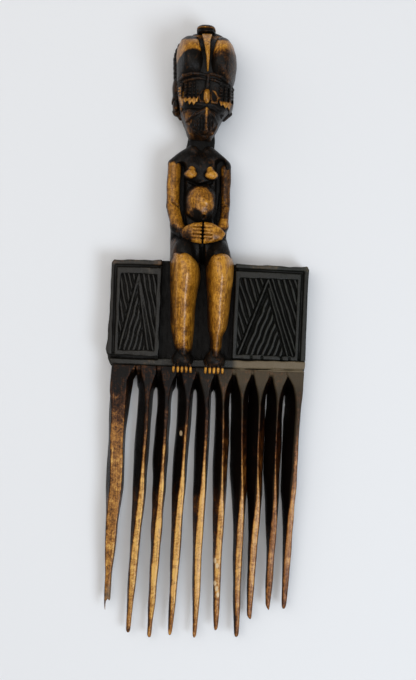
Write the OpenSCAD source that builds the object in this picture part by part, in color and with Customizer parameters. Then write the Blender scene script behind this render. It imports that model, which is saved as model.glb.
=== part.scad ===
// Carved wooden hair comb with a seated figure on its board, lying on its flat back.
// X runs across the comb, +Y towards the head, +Z out of the carved front.
// The origin is the middle of the board's flat back face.

/* [Board] */
// Width of the board
board_w = 72; // [62:1:88]
// Height of the board, from the tooth roots to its top edge
board_h = 39; // [32:1:48]
// Thickness of the board at its borders
board_t = 10; // [8:0.5:12]
// How far the board's sides swell at the foot of the borders
board_swell = 0.7; // [0:0.1:1.5]
// Cut-off corners along the board's top edge
corner_cut = 1.2; // [0.4:0.2:3]
// Height of the plain ledge over the tooth roots
ledge_h = 4; // [3:0.5:6]
// Depth of the two hatched fields below the borders
field_depth = 2.4; // [1.5:0.1:3.5]
// Clearance from the left leg to the left border
strip_left_gap = 3.5; // [1:0.25:6]
// Clearance from the right leg to the right border
strip_right_gap = 1; // [0.5:0.25:4]
// Depth of the plain strip below the borders
strip_depth = 3.6; // [2.6:0.1:5]

/* [Borders] */
// Width of the border along the board's side edge
outer_rail = 3.6; // [2.4:0.2:5]
// Width of the border beside the plain strip
inner_rail = 1.6; // [1:0.1:2.4]
// Width of the border along the board's top edge
top_rail = 5; // [3.5:0.25:7]
// Width of the border above the ledge
bottom_rail = 2; // [1.4:0.1:3]
// Distance of the scored line from the board's edge
score_in = 1.2; // [0.8:0.1:1.6]
// Width of the scored line
score_w = 0.7; // [0.4:0.1:1]
// Depth of the scored line
score_d = 0.8; // [0.4:0.1:1.2]

/* [Hatching] */
// Distance between neighbouring ridges
hatch_pitch = 2.2; // [1.8:0.1:3]
// Width of one ridge
hatch_w = 1.2; // [0.8:0.1:1.5]
// Height of a ridge over its bed
hatch_h = 1.4; // [0.8:0.1:1.8]
// Thickness of the bed under the ridges
hatch_bed = 0.5; // [0.3:0.1:0.8]

/* [Teeth] */
// Width of an ordinary tooth
tooth_w = 4.7; // [3.9:0.1:5.7]
// Width of the first tooth, on the -X side
wide_tooth_w = 6.2; // [5:0.1:7]
// Gap between the first tooth and the second
wide_gap = 5; // [3:0.1:6]
// How far the outer teeth stand in from the board's sides
edge_in = 1.2; // [0.4:0.1:2]
// Length of the flared root of each tooth
flare_len = 5; // [3:0.5:8]
// Length from the root over which a tooth keeps its full width
full_len = 45; // [30:1:55]
// Depth of a tooth from front to back at its root
tooth_d = 9; // [7:0.25:10]
// Depth of a tooth where its width starts to taper
middle_d = 7; // [5:0.25:8]
// Width of the narrow front ridge of a tooth
ridge_w = 1.6; // [1:0.1:2.4]
// Width of a tooth where its pointed end starts
tip_w = 2.9; // [2:0.1:3.6]
// Depth of a tooth where its pointed end starts
tip_d = 3.8; // [2.5:0.1:5]
// Length of the pointed end of each tooth
point_len = 15; // [8:0.5:20]
// Diameter of the very end of each tooth
end_d = 1.4; // [1:0.1:2]
// Height of the tooth points over the plane of the board's back
tip_z = 4.6; // [3:0.1:6]
// Length of each tooth from the board to its point
tooth_lens = [91.2, 98.7, 100.2, 99.2, 99.7, 96.7, 98.7, 92.7, 89.7, 87.7];
// Sideways offset of each tooth from even spacing at its root, in parts of the gap between teeth
root_offs = [0.1, -0.05, 0.05, 0.45, 0.45, 0.55, 0.65, 0.65, 0.55, 0.65];
// Sideways offset of each tooth from even spacing at its point, in parts of the gap between teeth
tip_offs = [-0.6, -1.7, -1.1, -0.7, 0.45, 0.95, 1.5, 0.5, 0.45, 0];

/* [Legs and hips] */
// X of the middle line between the legs
legs_x = -2.7; // [-5:0.1:0]
// Space between the knees
knee_gap = 2.6; // [1.5:0.1:4]
// Width of a knee
knee_w = 10; // [8:0.25:12]
// Width of an ankle
ankle_w = 3.6; // [3:0.1:5]
// Distance of an ankle's middle from the line between the legs
ankle_out = 5.8; // [5:0.1:7]
// How far the knees stand above the board's top edge
knee_rise = 3.5; // [2.5:0.25:5]
// How far the knees stand in front of the board
knee_proud = 13; // [10:0.5:16]
// How far the ankles stand in front of the board
ankle_proud = 7; // [5.5:0.5:9]
// Width of a foot at the toes
foot_w = 7; // [6:0.25:8]
// Length of a foot along the comb
foot_len = 7; // [6:0.25:9]
// How far the toes hang over the tooth roots
toe_over = 1.3; // [0.5:0.1:2]
// How far the toes stand in front of the ledge
foot_proud = 8; // [6:0.5:10]
// Width of the cut between two toes
toe_cut = 0.5; // [0.3:0.1:0.7]
// Height of the hips and lap above the board's top edge
lap_h = 7; // [6:0.25:9]
// Width of the hips at their top
hip_w = 20; // [18:0.5:23]
// How far the front of the hips stands over the table plane
hip_front = 16; // [13:0.5:17]

/* [Torso and arms] */
// X of the middle line of the torso, its arms and neck
figure_x = -5; // [-7:0.1:-2]
// Length of the torso from the lap to the shoulders
torso_len = 33; // [28:0.5:40]
// Width of the torso under the shoulders, without the arms
chest_w = 15.6; // [13:0.2:18]
// Width of the torso at the wrists, without the arms
waist_w = 12.4; // [10:0.2:13]
// Width over both shoulders
shoulder_w = 23.6; // [21:0.2:27]
// Width over both wrists
wrist_w = 18.8; // [16.5:0.2:21]
// Height of the torso's back over the table plane
back_z = 2; // [1:0.25:4]
// Height of the torso's front at the chest
chest_z = 16; // [14:0.25:17.5]
// Height of the belly's front
belly_z = 20; // [18.5:0.25:22]
// Height of the front of the arms, and of the waist behind the hands
arm_z = 17; // [15.5:0.25:18]
// Height of the back of the arms
arm_back_z = 4; // [3:0.25:6]
// Radius of the breasts' rounding
breast_r = 3.6; // [3:0.1:3.8]
// Distance of each breast from the middle line
breast_out = 4; // [3.9:0.1:4.3]
// How far the breasts stand in front of the chest
breast_proud = 2.6; // [1.5:0.1:3.4]
// Height of the hands along the comb
hand_h = 6.6; // [5.5:0.1:8]
// How far the hands stand in front of the wrists
hand_proud = 3.4; // [2.5:0.1:4.5]
// Width of the cuts between the fingers
finger_cut = 0.4; // [0.3:0.05:0.6]

/* [Neck and head] */
// Length of the neck between the shoulders and the chin
neck_len = 4.5; // [3.5:0.25:7]
// Width of the neck
neck_w = 9; // [7:0.25:10]
// X of the middle line of the head
head_x = -3.8; // [-6:0.1:-2]
// Height of the head from the chin to the crown
head_h = 40; // [32:0.5:48]
// Width of the head at the forehead
head_w = 22; // [19:0.5:25]
// Width of the head at the cheeks
cheek_w = 19.6; // [17:0.2:22]
// Width of the chin
chin_w = 10; // [9:0.2:12]
// Width of the crown
crown_w = 14; // [12:0.5:16]
// Height of the brow above the chin
brow_h = 23; // [20:0.25:25]
// Height of the front of the forehead over the table plane
head_z = 23; // [20:0.5:26]
// Height of the front of the lower face over the table plane
face_z = 20.5; // [18:0.5:23]
// Relief of the carving on the face
relief = 1.6; // [0.8:0.1:2.4]
// Width of the ridge down the middle of the forehead, at the crown
forehead_ridge_w = 5; // [3:0.25:6]
// Gap between the forehead ridge and the lobe on each side of it
lobe_gap = 0.8; // [0.4:0.1:1.2]
// Width of the nose across its wings
nose_w = 6; // [4.5:0.25:6.5]
// Width of the brow band
brow_t = 1.8; // [1:0.1:2.4]
// Length of the nose below the brow
nose_len = 8; // [6:0.25:9]
// Width of the mouth
mouth_w = 11.5; // [9:0.25:12.5]
// Height of the mouth
mouth_h = 9; // [7:0.25:9.5]
// Thickness of the band of hair round the head
hair_w = 1.4; // [0.8:0.1:2]
// Length of the topknot above the crown
crest_len = 2.6; // [1.5:0.1:5]
// Width of the topknot
crest_w = 7; // [5:0.25:9]
// Radius of a lobe of the ear
ear_r = 3.4; // [2.6:0.1:4]

/* [Hidden] */

dark_wood = "#38322c";
shaded_wood = "#4c4034";
worn_wood = "#a2733b";
tooth_wood = "#a8784a";

// Levels along the comb, from the roots up to the topknot
root_y = -board_h / 2;
top_y = board_h / 2;
ledge_y = root_y + ledge_h;
ankle_y = root_y - toe_over + foot_len;
knee_y = top_y + knee_rise;
lap_y = top_y + lap_h;
shoulder_y = lap_y + torso_len;
chin_y = shoulder_y + neck_len;
brow_y = chin_y + brow_h;
crown_y = chin_y + head_h;
forehead_h = crown_y - brow_y;
temple_y = brow_y + forehead_h * 0.18;
bulge_y = crown_y - forehead_h * 0.53;

// Levels out of the board
field_z = board_t - field_depth;
strip_z = board_t - strip_depth;
hand_z = arm_z + hand_proud;

// The plain strip, and a clearance for cutters that run past a face
leg_out = knee_gap / 2 + knee_w;
strip_x0 = legs_x - leg_out - strip_left_gap;
strip_x1 = legs_x + leg_out + strip_right_gap;
past = 1;
reach = board_w + board_h;

// Spacing of the teeth
tooth_count = len(tooth_lens);
root_gap = 0.2;
first_x = -board_w / 2 + edge_in + wide_tooth_w / 2;
second_x = first_x + (wide_tooth_w + tooth_w) / 2 + wide_gap;
last_x = board_w / 2 - edge_in - tooth_w / 2;
tooth_pitch = (last_x - second_x) / (tooth_count - 2);
function even_x(i) = i == 0 ? first_x : second_x + (i - 1) * tooth_pitch;
tooth_gap = tooth_pitch - tooth_w;
function root_x(i) = even_x(i) + root_offs[i] * tooth_gap;
function tip_x(i) = even_x(i) + tip_offs[i] * tooth_gap;
function width_of(i) = i == 0 ? wide_tooth_w : tooth_w;
function between_x(i) =
    i == 0 ? -board_w / 2 + edge_in :
    i == tooth_count ? board_w / 2 - edge_in / 2 :
    i == 1 ? (root_x(0) + wide_tooth_w / 2 + root_x(1) - tooth_w / 2) / 2 :
    (root_x(i - 1) + root_x(i)) / 2;

// A side view, given as [y, z] points, drawn out across the comb from x0 to x1
module across(x0, x1, side_view) {
    translate([x0, 0, 0])
        rotate([90, 0, 90])
            linear_extrude(x1 - x0)
                polygon(side_view);
}

// A front view, given as [x, y] points, drawn out from level z0 to level z1
module standing(z0, z1, front_view) {
    translate([0, 0, z0])
        linear_extrude(z1 - z0)
            polygon(front_view);
}

// Keeps the child on the +X side of the line at x, or mirrors it to the -X side
module on_side(side, x) {
    translate([x, 0, 0])
        mirror([side < 0 ? 1 : 0, 0, 0])
            children();
}

// ---- Board ----

function board_outline(y0, y1) = [
    [-board_w / 2 - board_swell * (y0 < ledge_y ? 0 : 1), y0],
    [board_w / 2 + board_swell * (y0 < ledge_y ? 0 : 1), y0],
    [board_w / 2, y1 - corner_cut],
    [board_w / 2 - corner_cut, y1],
    [-board_w / 2 + corner_cut, y1],
    [-board_w / 2, y1 - corner_cut]
];

module board() {
    color(dark_wood)
        difference() {
            standing(0, field_z, board_outline(ledge_y, top_y));
            translate([strip_x0, ledge_y - past, strip_z])
                cube([strip_x1 - strip_x0, board_h + 2 * past, board_t]);
        }
}

module root_ledge() {
    color(dark_wood)
        standing(0, board_t, [
            [-board_w / 2, root_y],
            [board_w / 2, root_y],
            [board_w / 2 + board_swell, ledge_y],
            [-board_w / 2 - board_swell, ledge_y]
        ]);
}

// Low and high corner of a sunk field: side -1 is left of the strip, 1 is right of it
function field_x0(side) = side < 0 ? -board_w / 2 + outer_rail : strip_x1 + inner_rail;
function field_x1(side) = side < 0 ? strip_x0 - inner_rail : board_w / 2 - outer_rail;
field_y0 = ledge_y + bottom_rail;
field_y1 = top_y - top_rail;

module field_prism(side, z0, z1) {
    translate([field_x0(side), field_y0, z0])
        cube([field_x1(side) - field_x0(side), field_y1 - field_y0, z1 - z0]);
}

module border(side) {
    half_x0 = side < 0 ? -board_w : strip_x1;
    half_w = side < 0 ? strip_x0 + board_w : board_w - strip_x1;
    score_x0 = side < 0 ? -board_w / 2 + score_in : strip_x1 - past;
    score_x1 = side < 0 ? strip_x0 + past : board_w / 2 - score_in;
    color(dark_wood)
        difference() {
            intersection() {
                standing(field_z, board_t, board_outline(ledge_y, top_y));
                translate([half_x0, ledge_y, 0])
                    cube([half_w, board_h, board_t + past]);
            }
            field_prism(side, 0, board_t + past);
            // Scored line along the top edge and down the outer side
            translate([score_x0, top_y - score_in - score_w, board_t - score_d])
                cube([score_x1 - score_x0, score_w, board_t]);
            translate([side < 0 ? score_x0 : score_x1 - score_w, ledge_y - past, board_t - score_d])
                cube([score_w, top_y - score_in - ledge_y + past, board_t]);
        }
}

// Parallel strips at an angle, spread over the whole field
module strips(angle, pitch, w, count) {
    rotate(angle)
        for (k = [-count:count])
            translate([-reach / 2, k * pitch - w / 2])
                square([reach, w]);
}

// One tall triangle with double sides, ridges slanting one way inside it and the other way outside
module hatching(side) {
    w = field_x1(side) - field_x0(side);
    h = field_y1 - field_y0;
    lean = atan2(h, w / 2);
    count = ceil(reach / 2 / hatch_pitch);
    triangle = [[-w / 2, 0], [w / 2, 0], [0, h]];
    double_w = 2 * hatch_pitch;
    color(shaded_wood)
        translate([(field_x0(side) + field_x1(side)) / 2, field_y0, field_z]) {
            translate([-w / 2, 0, 0])
                cube([w, h, hatch_bed]);
            translate([0, 0, hatch_bed])
                linear_extrude(hatch_h)
                    intersection() {
                        translate([-w / 2, 0])
                            square([w, h]);
                        union() {
                            intersection() {
                                polygon(triangle);
                                strips(lean, hatch_pitch, hatch_w, count);
                            }
                            difference() {
                                strips(-lean, hatch_pitch, hatch_w, count);
                                polygon(triangle);
                            }
                            for (s = [-1, 1])
                                translate([0, h])
                                    rotate(-90 - s * (90 - lean))
                                        translate([0, -hatch_w / 2])
                                            square([reach, hatch_w]);
                            translate([0, h])
                                rotate(lean - 180)
                                    translate([0, double_w / 2 - hatch_w / 2])
                                        square([reach, hatch_w]);
                        }
                    }
        }
}

module left_border() {
    border(-1);
}

module right_border() {
    border(1);
}

module left_hatching() {
    hatching(-1);
}

module right_hatching() {
    hatching(1);
}

// ---- Teeth ----

// A thin slice across a tooth: a narrow ridge in front, widest behind its middle
slice = 0.01;
module tooth_slice(x0, x1, y, z0, z1, front_w) {
    mid = (x0 + x1) / 2;
    side_z = z0 + (z1 - z0) * 0.4;
    back_in = (x1 - x0) * 0.12;
    translate([0, y, 0])
        rotate([90, 0, 0])
            linear_extrude(slice)
                polygon([
                    [x0 + back_in, z0], [x1 - back_in, z0], [x1, side_z],
                    [mid + front_w / 2, z1], [mid - front_w / 2, z1], [x0, side_z]
                ]);
}

// Cross-section of tooth i at level y between its root and the start of its pointed end
module tooth_level(i, y, w, depth, front_w) {
    run = (root_y - y) / tooth_lens[i];
    x = root_x(i) + run * (tip_x(i) - root_x(i));
    z = board_t / 2 + run * (tip_z - board_t / 2);
    tooth_slice(x - w / 2, x + w / 2, y, z - depth / 2, z + depth / 2, front_w);
}

module tooth(i) {
    w = width_of(i);
    front_w = i == 0 ? w / 2 : ridge_w;
    back_z0 = (board_t - tooth_d) / 2;
    y_tip = root_y - tooth_lens[i];
    color(tooth_wood) {
        hull() {
            tooth_slice(between_x(i) + root_gap, between_x(i + 1) - root_gap, root_y,
                        back_z0, back_z0 + tooth_d, 2 * front_w);
            tooth_level(i, root_y - flare_len, w, tooth_d, front_w);
        }
        hull() {
            tooth_level(i, root_y - flare_len, w, tooth_d, front_w);
            tooth_level(i, root_y - full_len, w, middle_d, front_w);
        }
        hull() {
            tooth_level(i, root_y - full_len, w, middle_d, front_w);
            tooth_level(i, y_tip + point_len, tip_w, tip_d, front_w / 2);
        }
        hull() {
            tooth_level(i, y_tip + point_len, tip_w, tip_d, front_w / 2);
            translate([tip_x(i), y_tip + end_d / 2, tip_z])
                sphere(d = end_d, $fn = 16);
        }
    }
}

// ---- Legs and hips ----

module foot(side) {
    toe_y = root_y - toe_over;
    color(worn_wood)
        on_side(side, legs_x)
            difference() {
                intersection() {
                    standing(board_t, board_t + foot_proud, [
                        [ankle_out - foot_w / 2, toe_y],
                        [ankle_out + foot_w / 2, toe_y],
                        [ankle_out + foot_w / 2, toe_y + foot_len / 2],
                        [ankle_out + ankle_w / 2, ankle_y],
                        [ankle_out - ankle_w / 2, ankle_y],
                        [ankle_out - foot_w / 2, toe_y + foot_len / 2]
                    ]);
                    across(0, ankle_out + foot_w, [
                        [toe_y, board_t],
                        [ankle_y, board_t],
                        [ankle_y, board_t + ankle_proud],
                        [toe_y + foot_len / 2, board_t + foot_proud],
                        [toe_y, board_t + foot_proud / 2]
                    ]);
                }
                // Four cuts part the five toes
                for (k = [1:4])
                    translate([ankle_out - foot_w / 2 + k * foot_w / 5 - toe_cut / 2, toe_y - past,
                               board_t + foot_proud / 2 - 1])
                        cube([toe_cut, foot_len * 0.45 + past, foot_proud]);
            }
}

module leg(side) {
    calf_y = (ankle_y + top_y) / 2;
    shin_proud = (ankle_proud + knee_proud) / 2;
    knee_in = knee_gap / 2;
    color(worn_wood)
        on_side(side, legs_x)
            intersection() {
                standing(0, board_t + knee_proud, [
                    [ankle_out - ankle_w / 2, ankle_y],
                    [ankle_out + ankle_w / 2, ankle_y],
                    [knee_in + knee_w * 0.95, calf_y],
                    [knee_in + knee_w, top_y - knee_rise],
                    [knee_in + knee_w * 0.8, knee_y],
                    [knee_in + knee_w * 0.2, knee_y],
                    [knee_in, top_y - knee_rise],
                    [knee_in + knee_w * 0.1, calf_y]
                ]);
                across(0, knee_in + knee_w + past, [
                    [ankle_y, strip_z],
                    [top_y, strip_z],
                    [top_y, hip_front],
                    [knee_y, hip_front],
                    [knee_y, board_t + knee_proud - knee_rise],
                    [top_y - knee_rise, board_t + knee_proud],
                    [calf_y, board_t + shin_proud],
                    [ankle_y, board_t + ankle_proud]
                ]);
            }
}

module hips() {
    color(dark_wood)
        intersection() {
            standing(back_z, hip_front, [
                [legs_x - leg_out, top_y],
                [legs_x + leg_out, top_y],
                [figure_x + hip_w / 2, lap_y],
                [figure_x - hip_w / 2, lap_y]
            ]);
            across(legs_x - leg_out - hip_w, legs_x + leg_out + hip_w, [
                [top_y, back_z + 1],
                [lap_y, back_z],
                [lap_y, hip_front],
                [top_y, hip_front]
            ]);
        }
}

module left_foot() {
    foot(-1);
}

module right_foot() {
    foot(1);
}

module left_leg() {
    leg(-1);
}

module right_leg() {
    leg(1);
}

// ---- Torso and arms ----

// Middle line of the chest, where the breasts sit on its flat front
chest_y0 = shoulder_y - 4 - 2 * breast_r;
chest_y1 = shoulder_y - 3;
breast_y = (chest_y0 + chest_y1) / 2;
hand_y1 = lap_y + hand_h;

module torso() {
    belly_y = (hand_y1 + chest_y0) / 2;
    color(dark_wood)
        intersection() {
            standing(back_z, belly_z, [
                [figure_x - waist_w / 2, lap_y],
                [figure_x + waist_w / 2, lap_y],
                [figure_x + chest_w / 2, shoulder_y],
                [figure_x - chest_w / 2, shoulder_y]
            ]);
            across(figure_x - chest_w, figure_x + chest_w, [
                [lap_y, back_z],
                [shoulder_y - 2, back_z],
                [shoulder_y, back_z + 2],
                [shoulder_y, chest_z - 3],
                [chest_y1, chest_z],
                [chest_y0, chest_z],
                [belly_y + 1.5, belly_z],
                [belly_y - 1.5, belly_z],
                [hand_y1, arm_z],
                [lap_y, arm_z]
            ]);
        }
}

module breast(side) {
    color(worn_wood)
        on_side(side, figure_x)
            intersection() {
                translate([breast_out, breast_y, chest_z + breast_proud - breast_r])
                    sphere(r = breast_r, $fn = 48);
                translate([0, chest_y0, chest_z])
                    cube([2 * breast_out, chest_y1 - chest_y0, breast_r]);
            }
}

// An arm hangs against the torso's side and ends at the wrist, over the hips
module arm(side) {
    color(worn_wood)
        on_side(side, figure_x)
            intersection() {
                standing(arm_back_z, arm_z, [
                    [waist_w / 2, lap_y],
                    [wrist_w / 2, lap_y],
                    [shoulder_w / 2, shoulder_y - 8],
                    [shoulder_w / 2 - 0.8, shoulder_y - 3],
                    [chest_w / 2, shoulder_y]
                ]);
                across(0, shoulder_w, [
                    [lap_y, arm_back_z],
                    [shoulder_y, arm_back_z],
                    [shoulder_y, arm_z - 3],
                    [shoulder_y - 4, arm_z],
                    [lap_y, arm_z]
                ]);
            }
}

// A hand lies on the waist, its fingers pointing to the middle line
module hand(side) {
    palm_in = 0.2;
    palm_w = wrist_w / 2 - 0.6;
    finger_len = 4;
    color(worn_wood)
        on_side(side, figure_x)
            difference() {
                standing(arm_z, hand_z, [
                    [palm_in, lap_y + 0.3],
                    [palm_w * 0.6, lap_y + 0.8],
                    [palm_w, lap_y + hand_h * 0.4],
                    [palm_w * 0.7, hand_y1 - 0.6],
                    [palm_in, hand_y1]
                ]);
                for (k = [1:4])
                    translate([palm_in - past, lap_y + k * hand_h / 5 - finger_cut / 2, hand_z - 1])
                        cube([finger_len + past, finger_cut, 2]);
            }
}

module left_breast() {
    breast(-1);
}

module right_breast() {
    breast(1);
}

module left_arm() {
    arm(-1);
}

module right_arm() {
    arm(1);
}

module left_hand() {
    hand(-1);
}

module right_hand() {
    hand(1);
}

// ---- Neck and head ----

// The neck and the foot of the head share this run of levels
neck_back = 5;
neck_front = 13;

module neck() {
    color(dark_wood)
        translate([figure_x - neck_w / 2, shoulder_y, neck_back])
            cube([neck_w, neck_len, neck_front - neck_back - 1]);
}

// Half outline of the head, from the chin up to the crown, widened by out
function head_half(out) = [
    [chin_w / 2 + out, chin_y],
    [cheek_w / 2 - 1 + out, chin_y + brow_h * 0.35],
    [cheek_w / 2 + out, brow_y - 4],
    [head_w / 2 + out, temple_y],
    [head_w / 2 + out, bulge_y],
    [crown_w / 2 + 1.5 + out, crown_y - forehead_h * 0.12 + out],
    [crown_w / 2, crown_y + out]
];
function flip(points) = [for (k = [len(points) - 1:-1:0]) [-points[k][0], points[k][1]]];

module head_front_view(out) {
    translate([head_x, 0])
        polygon(concat(head_half(out), flip(head_half(out))));
}

// Side view of the head, its front raised by up
function head_side(up) = [
    [chin_y, neck_back - 1],
    [chin_y + 8, 1.5],
    [chin_y + 14, 0],
    [crown_y - forehead_h * 0.35, 0],
    [crown_y, 4],
    [crown_y, head_z - 9 + up],
    [crown_y - forehead_h * 0.24, head_z - 2 + up],
    [bulge_y, head_z + up],
    [brow_y + forehead_h * 0.12, head_z - 1 + up],
    [brow_y - 1, face_z + up],
    [chin_y + 4, face_z + up],
    [chin_y, face_z - 3 + up]
];

module head() {
    color(dark_wood)
        intersection() {
            translate([0, 0, -past])
                linear_extrude(head_z + 2 * past)
                    head_front_view(0);
            across(head_x - head_w, head_x + head_w, head_side(0));
        }
}

// Relief on the front of the head: its front view is the child, its back the head's own surface
module on_face(up) {
    difference() {
        intersection() {
            translate([0, 0, neck_front])
                linear_extrude(head_z)
                    children();
            across(head_x - head_w, head_x + head_w, head_side(up));
        }
        across(head_x - head_w, head_x + head_w, head_side(0));
    }
}

module hair_band() {
    band_z0 = 4;
    band_z1 = neck_front;
    color(dark_wood)
        difference() {
            translate([0, 0, band_z0])
                linear_extrude(band_z1 - band_z0)
                    intersection() {
                        head_front_view(hair_w);
                        translate([head_x - head_w, brow_y])
                            square([2 * head_w, crown_y - brow_y]);
                    }
            translate([0, 0, -past])
                linear_extrude(head_z)
                    head_front_view(0);
        }
}

module crest() {
    color(dark_wood)
        standing(neck_back, neck_front, [
            [head_x - crest_w / 2, crown_y],
            [head_x + crest_w / 2, crown_y],
            [head_x + crest_w / 2 - 0.6, crown_y + crest_len],
            [head_x - crest_w / 2 + 0.8, crown_y + crest_len - 0.6]
        ]);
}

// An ear of two round lobes, its inner side cut to the side of the head
module ear(side, lobes) {
    ear_x = cheek_w / 2 - 0.6;
    color(dark_wood)
        difference() {
            on_side(side, head_x)
                for (k = [0:lobes - 1])
                    translate([ear_x, brow_y - 3 - ear_r - k * ear_r * 1.7, neck_back + 1])
                        cylinder(r = ear_r, h = neck_front - neck_back, $fn = 48);
            translate([0, 0, -past])
                linear_extrude(head_z)
                    head_front_view(0);
        }
}

// A rounded lobe of the forehead beside the ridge
module forehead_lobe(side) {
    lobe_in = forehead_ridge_w / 2 + lobe_gap;
    color(worn_wood)
        on_face(relief)
            translate([head_x, 0])
                mirror([side < 0 ? 1 : 0, 0])
                    polygon([
                        [lobe_gap, temple_y],
                        [head_w / 2 - 1, temple_y],
                        [head_w / 2 - 0.6, bulge_y],
                        [crown_w / 2, crown_y - forehead_h * 0.14],
                        [lobe_in, crown_y - forehead_h * 0.07]
                    ]);
}

module forehead_ridge() {
    color(worn_wood)
        on_face(relief * 0.7)
            translate([head_x, 0])
                polygon([
                    [0, brow_y + forehead_h * 0.16],
                    [forehead_ridge_w / 2, crown_y - forehead_h * 0.04],
                    [-forehead_ridge_w / 2, crown_y - forehead_h * 0.04]
                ]);
}

module brow() {
    half_w = head_w / 2 - 1;
    color(worn_wood)
        on_face(relief)
            translate([head_x, brow_y])
                polygon([
                    [-half_w, -brow_t - 1], [0, -brow_t], [half_w, -brow_t - 1],
                    [half_w, 0], [0, 1.2], [-half_w, 0]
                ]);
}

module nose() {
    nose_y1 = brow_y - brow_t - 0.3;
    color(worn_wood)
        on_face(relief * 1.6)
            translate([head_x, nose_y1])
                polygon([
                    [-0.9, 0], [0.9, 0], [1.3, -nose_len * 0.5],
                    [nose_w / 2, -nose_len * 0.6], [nose_w / 2, -nose_len + 1], [1, -nose_len],
                    [-1, -nose_len], [-nose_w / 2, -nose_len + 1], [-nose_w / 2, -nose_len * 0.6],
                    [-1.3, -nose_len * 0.5]
                ]);
}

// Upright bars on a cheek, from the brow down past the nose
module cheek(side) {
    bars = 3;
    bar_in = nose_w / 2 + 0.6;
    bar_step = (cheek_w / 2 - 1.6 - bar_in) / bars;
    color(worn_wood)
        on_face(relief * 0.8)
            translate([head_x, brow_y - 3.6])
                mirror([side < 0 ? 1 : 0, 0])
                    for (k = [0:bars - 1])
                        translate([bar_in + k * bar_step, -7])
                            square([bar_step * 0.75, 7]);
}

module mouth() {
    mouth_y = chin_y + 2 + mouth_h / 2;
    color(worn_wood)
        on_face(relief)
            translate([head_x, mouth_y])
                difference() {
                    polygon([
                        [0, mouth_h / 2], [mouth_w / 2, -mouth_h * 0.1],
                        [mouth_w / 4, -mouth_h / 2], [-mouth_w / 4, -mouth_h / 2],
                        [-mouth_w / 2, -mouth_h * 0.1]
                    ]);
                    // Slots between the upright teeth
                    for (k = [-2:2])
                        translate([k * mouth_w / 7 - 0.25, -mouth_h * 0.32])
                            square([0.5, mouth_h * 0.42]);
                }
}

module left_ear() {
    ear(-1, 2);
}

module right_ear() {
    ear(1, 2);
}

module left_forehead() {
    forehead_lobe(-1);
}

module right_forehead() {
    forehead_lobe(1);
}

module left_cheek() {
    cheek(-1);
}

module right_cheek() {
    cheek(1);
}

board();
root_ledge();
left_border();
right_border();
left_hatching();
right_hatching();
tooth(0);  // tooth_01
tooth(1);  // tooth_02
tooth(2);  // tooth_03
tooth(3);  // tooth_04
tooth(4);  // tooth_05
tooth(5);  // tooth_06
tooth(6);  // tooth_07
tooth(7);  // tooth_08
tooth(8);  // tooth_09
tooth(9);  // tooth_10
left_foot();
right_foot();
left_leg();
right_leg();
hips();
torso();
left_breast();
right_breast();
left_arm();
right_arm();
left_hand();
right_hand();
neck();
head();
hair_band();
crest();
left_ear();
right_ear();
left_forehead();
right_forehead();
forehead_ridge();
brow();
nose();
left_cheek();
right_cheek();
mouth();
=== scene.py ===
"""A carved hardwood hair comb with a seated figure: its looks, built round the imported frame."""
import math

import bpy
import numpy as np
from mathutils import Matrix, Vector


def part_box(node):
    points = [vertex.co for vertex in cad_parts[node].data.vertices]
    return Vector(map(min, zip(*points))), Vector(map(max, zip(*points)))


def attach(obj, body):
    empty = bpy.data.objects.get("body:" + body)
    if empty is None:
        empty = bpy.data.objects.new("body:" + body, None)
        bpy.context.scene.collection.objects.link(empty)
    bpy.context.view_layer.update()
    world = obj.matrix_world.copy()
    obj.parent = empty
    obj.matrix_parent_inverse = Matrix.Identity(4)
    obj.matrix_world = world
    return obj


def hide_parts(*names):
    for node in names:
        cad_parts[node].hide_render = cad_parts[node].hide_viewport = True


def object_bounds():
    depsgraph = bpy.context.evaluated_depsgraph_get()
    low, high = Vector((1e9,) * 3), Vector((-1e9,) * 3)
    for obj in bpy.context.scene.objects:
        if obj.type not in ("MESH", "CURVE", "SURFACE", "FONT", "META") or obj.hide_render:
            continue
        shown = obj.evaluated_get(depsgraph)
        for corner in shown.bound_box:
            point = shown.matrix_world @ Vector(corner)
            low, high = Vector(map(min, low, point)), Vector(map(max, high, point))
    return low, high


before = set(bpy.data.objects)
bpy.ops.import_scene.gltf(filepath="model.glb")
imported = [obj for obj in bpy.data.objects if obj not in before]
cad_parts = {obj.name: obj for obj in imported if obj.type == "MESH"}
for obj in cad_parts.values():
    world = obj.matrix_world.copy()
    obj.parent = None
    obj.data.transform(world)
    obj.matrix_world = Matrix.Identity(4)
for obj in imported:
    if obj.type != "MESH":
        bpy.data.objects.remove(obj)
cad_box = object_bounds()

MM = 0.001
# Spacing of the carving lattice, and a coarser one for the teeth, which have no fine cuts
FINE = 0.25
COARSE = 0.3
# How far round a place is looked at to tell a hollow from an edge: on cut relief, and on limbs
NEARBY = 0.8
NEARBY_LIMB = 1.0
SIDE = {"left": -1, "right": 1}


def unit(value):
    """The value held between 0 and 1."""
    return np.clip(value, 0, 1)


def corners(node):
    """Lowest and highest corner of a node of the frame, in millimetres."""
    lo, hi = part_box(node)
    return np.array(lo) / MM, np.array(hi) / MM


# ---- Carving: distances on a fine lattice, in millimetres ----

class Block:
    """A block of wood to carve, filled with a lattice of points."""

    def __init__(self, lo, hi, step):
        self.lo = np.array(lo, dtype=np.float32)
        self.step = step
        counts = np.ceil((np.array(hi) - self.lo) / step).astype(int) + 1
        axes = [self.lo[k] + step * np.arange(counts[k], dtype=np.float32) for k in range(3)]
        self.x, self.y, self.z = np.meshgrid(*axes, indexing="ij", sparse=True)
        self.shape = tuple(counts)


def egg(b, centre, radii):
    """Distance to an egg-shaped swelling."""
    u, v, w = ((a - c) / r for a, c, r in zip((b.x, b.y, b.z), centre, radii))
    far = np.sqrt(u * u + v * v + w * w)
    slope = np.sqrt((u / radii[0]) ** 2 + (v / radii[1]) ** 2 + (w / radii[2]) ** 2) + 1e-5
    return far * (far - 1) / slope


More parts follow.
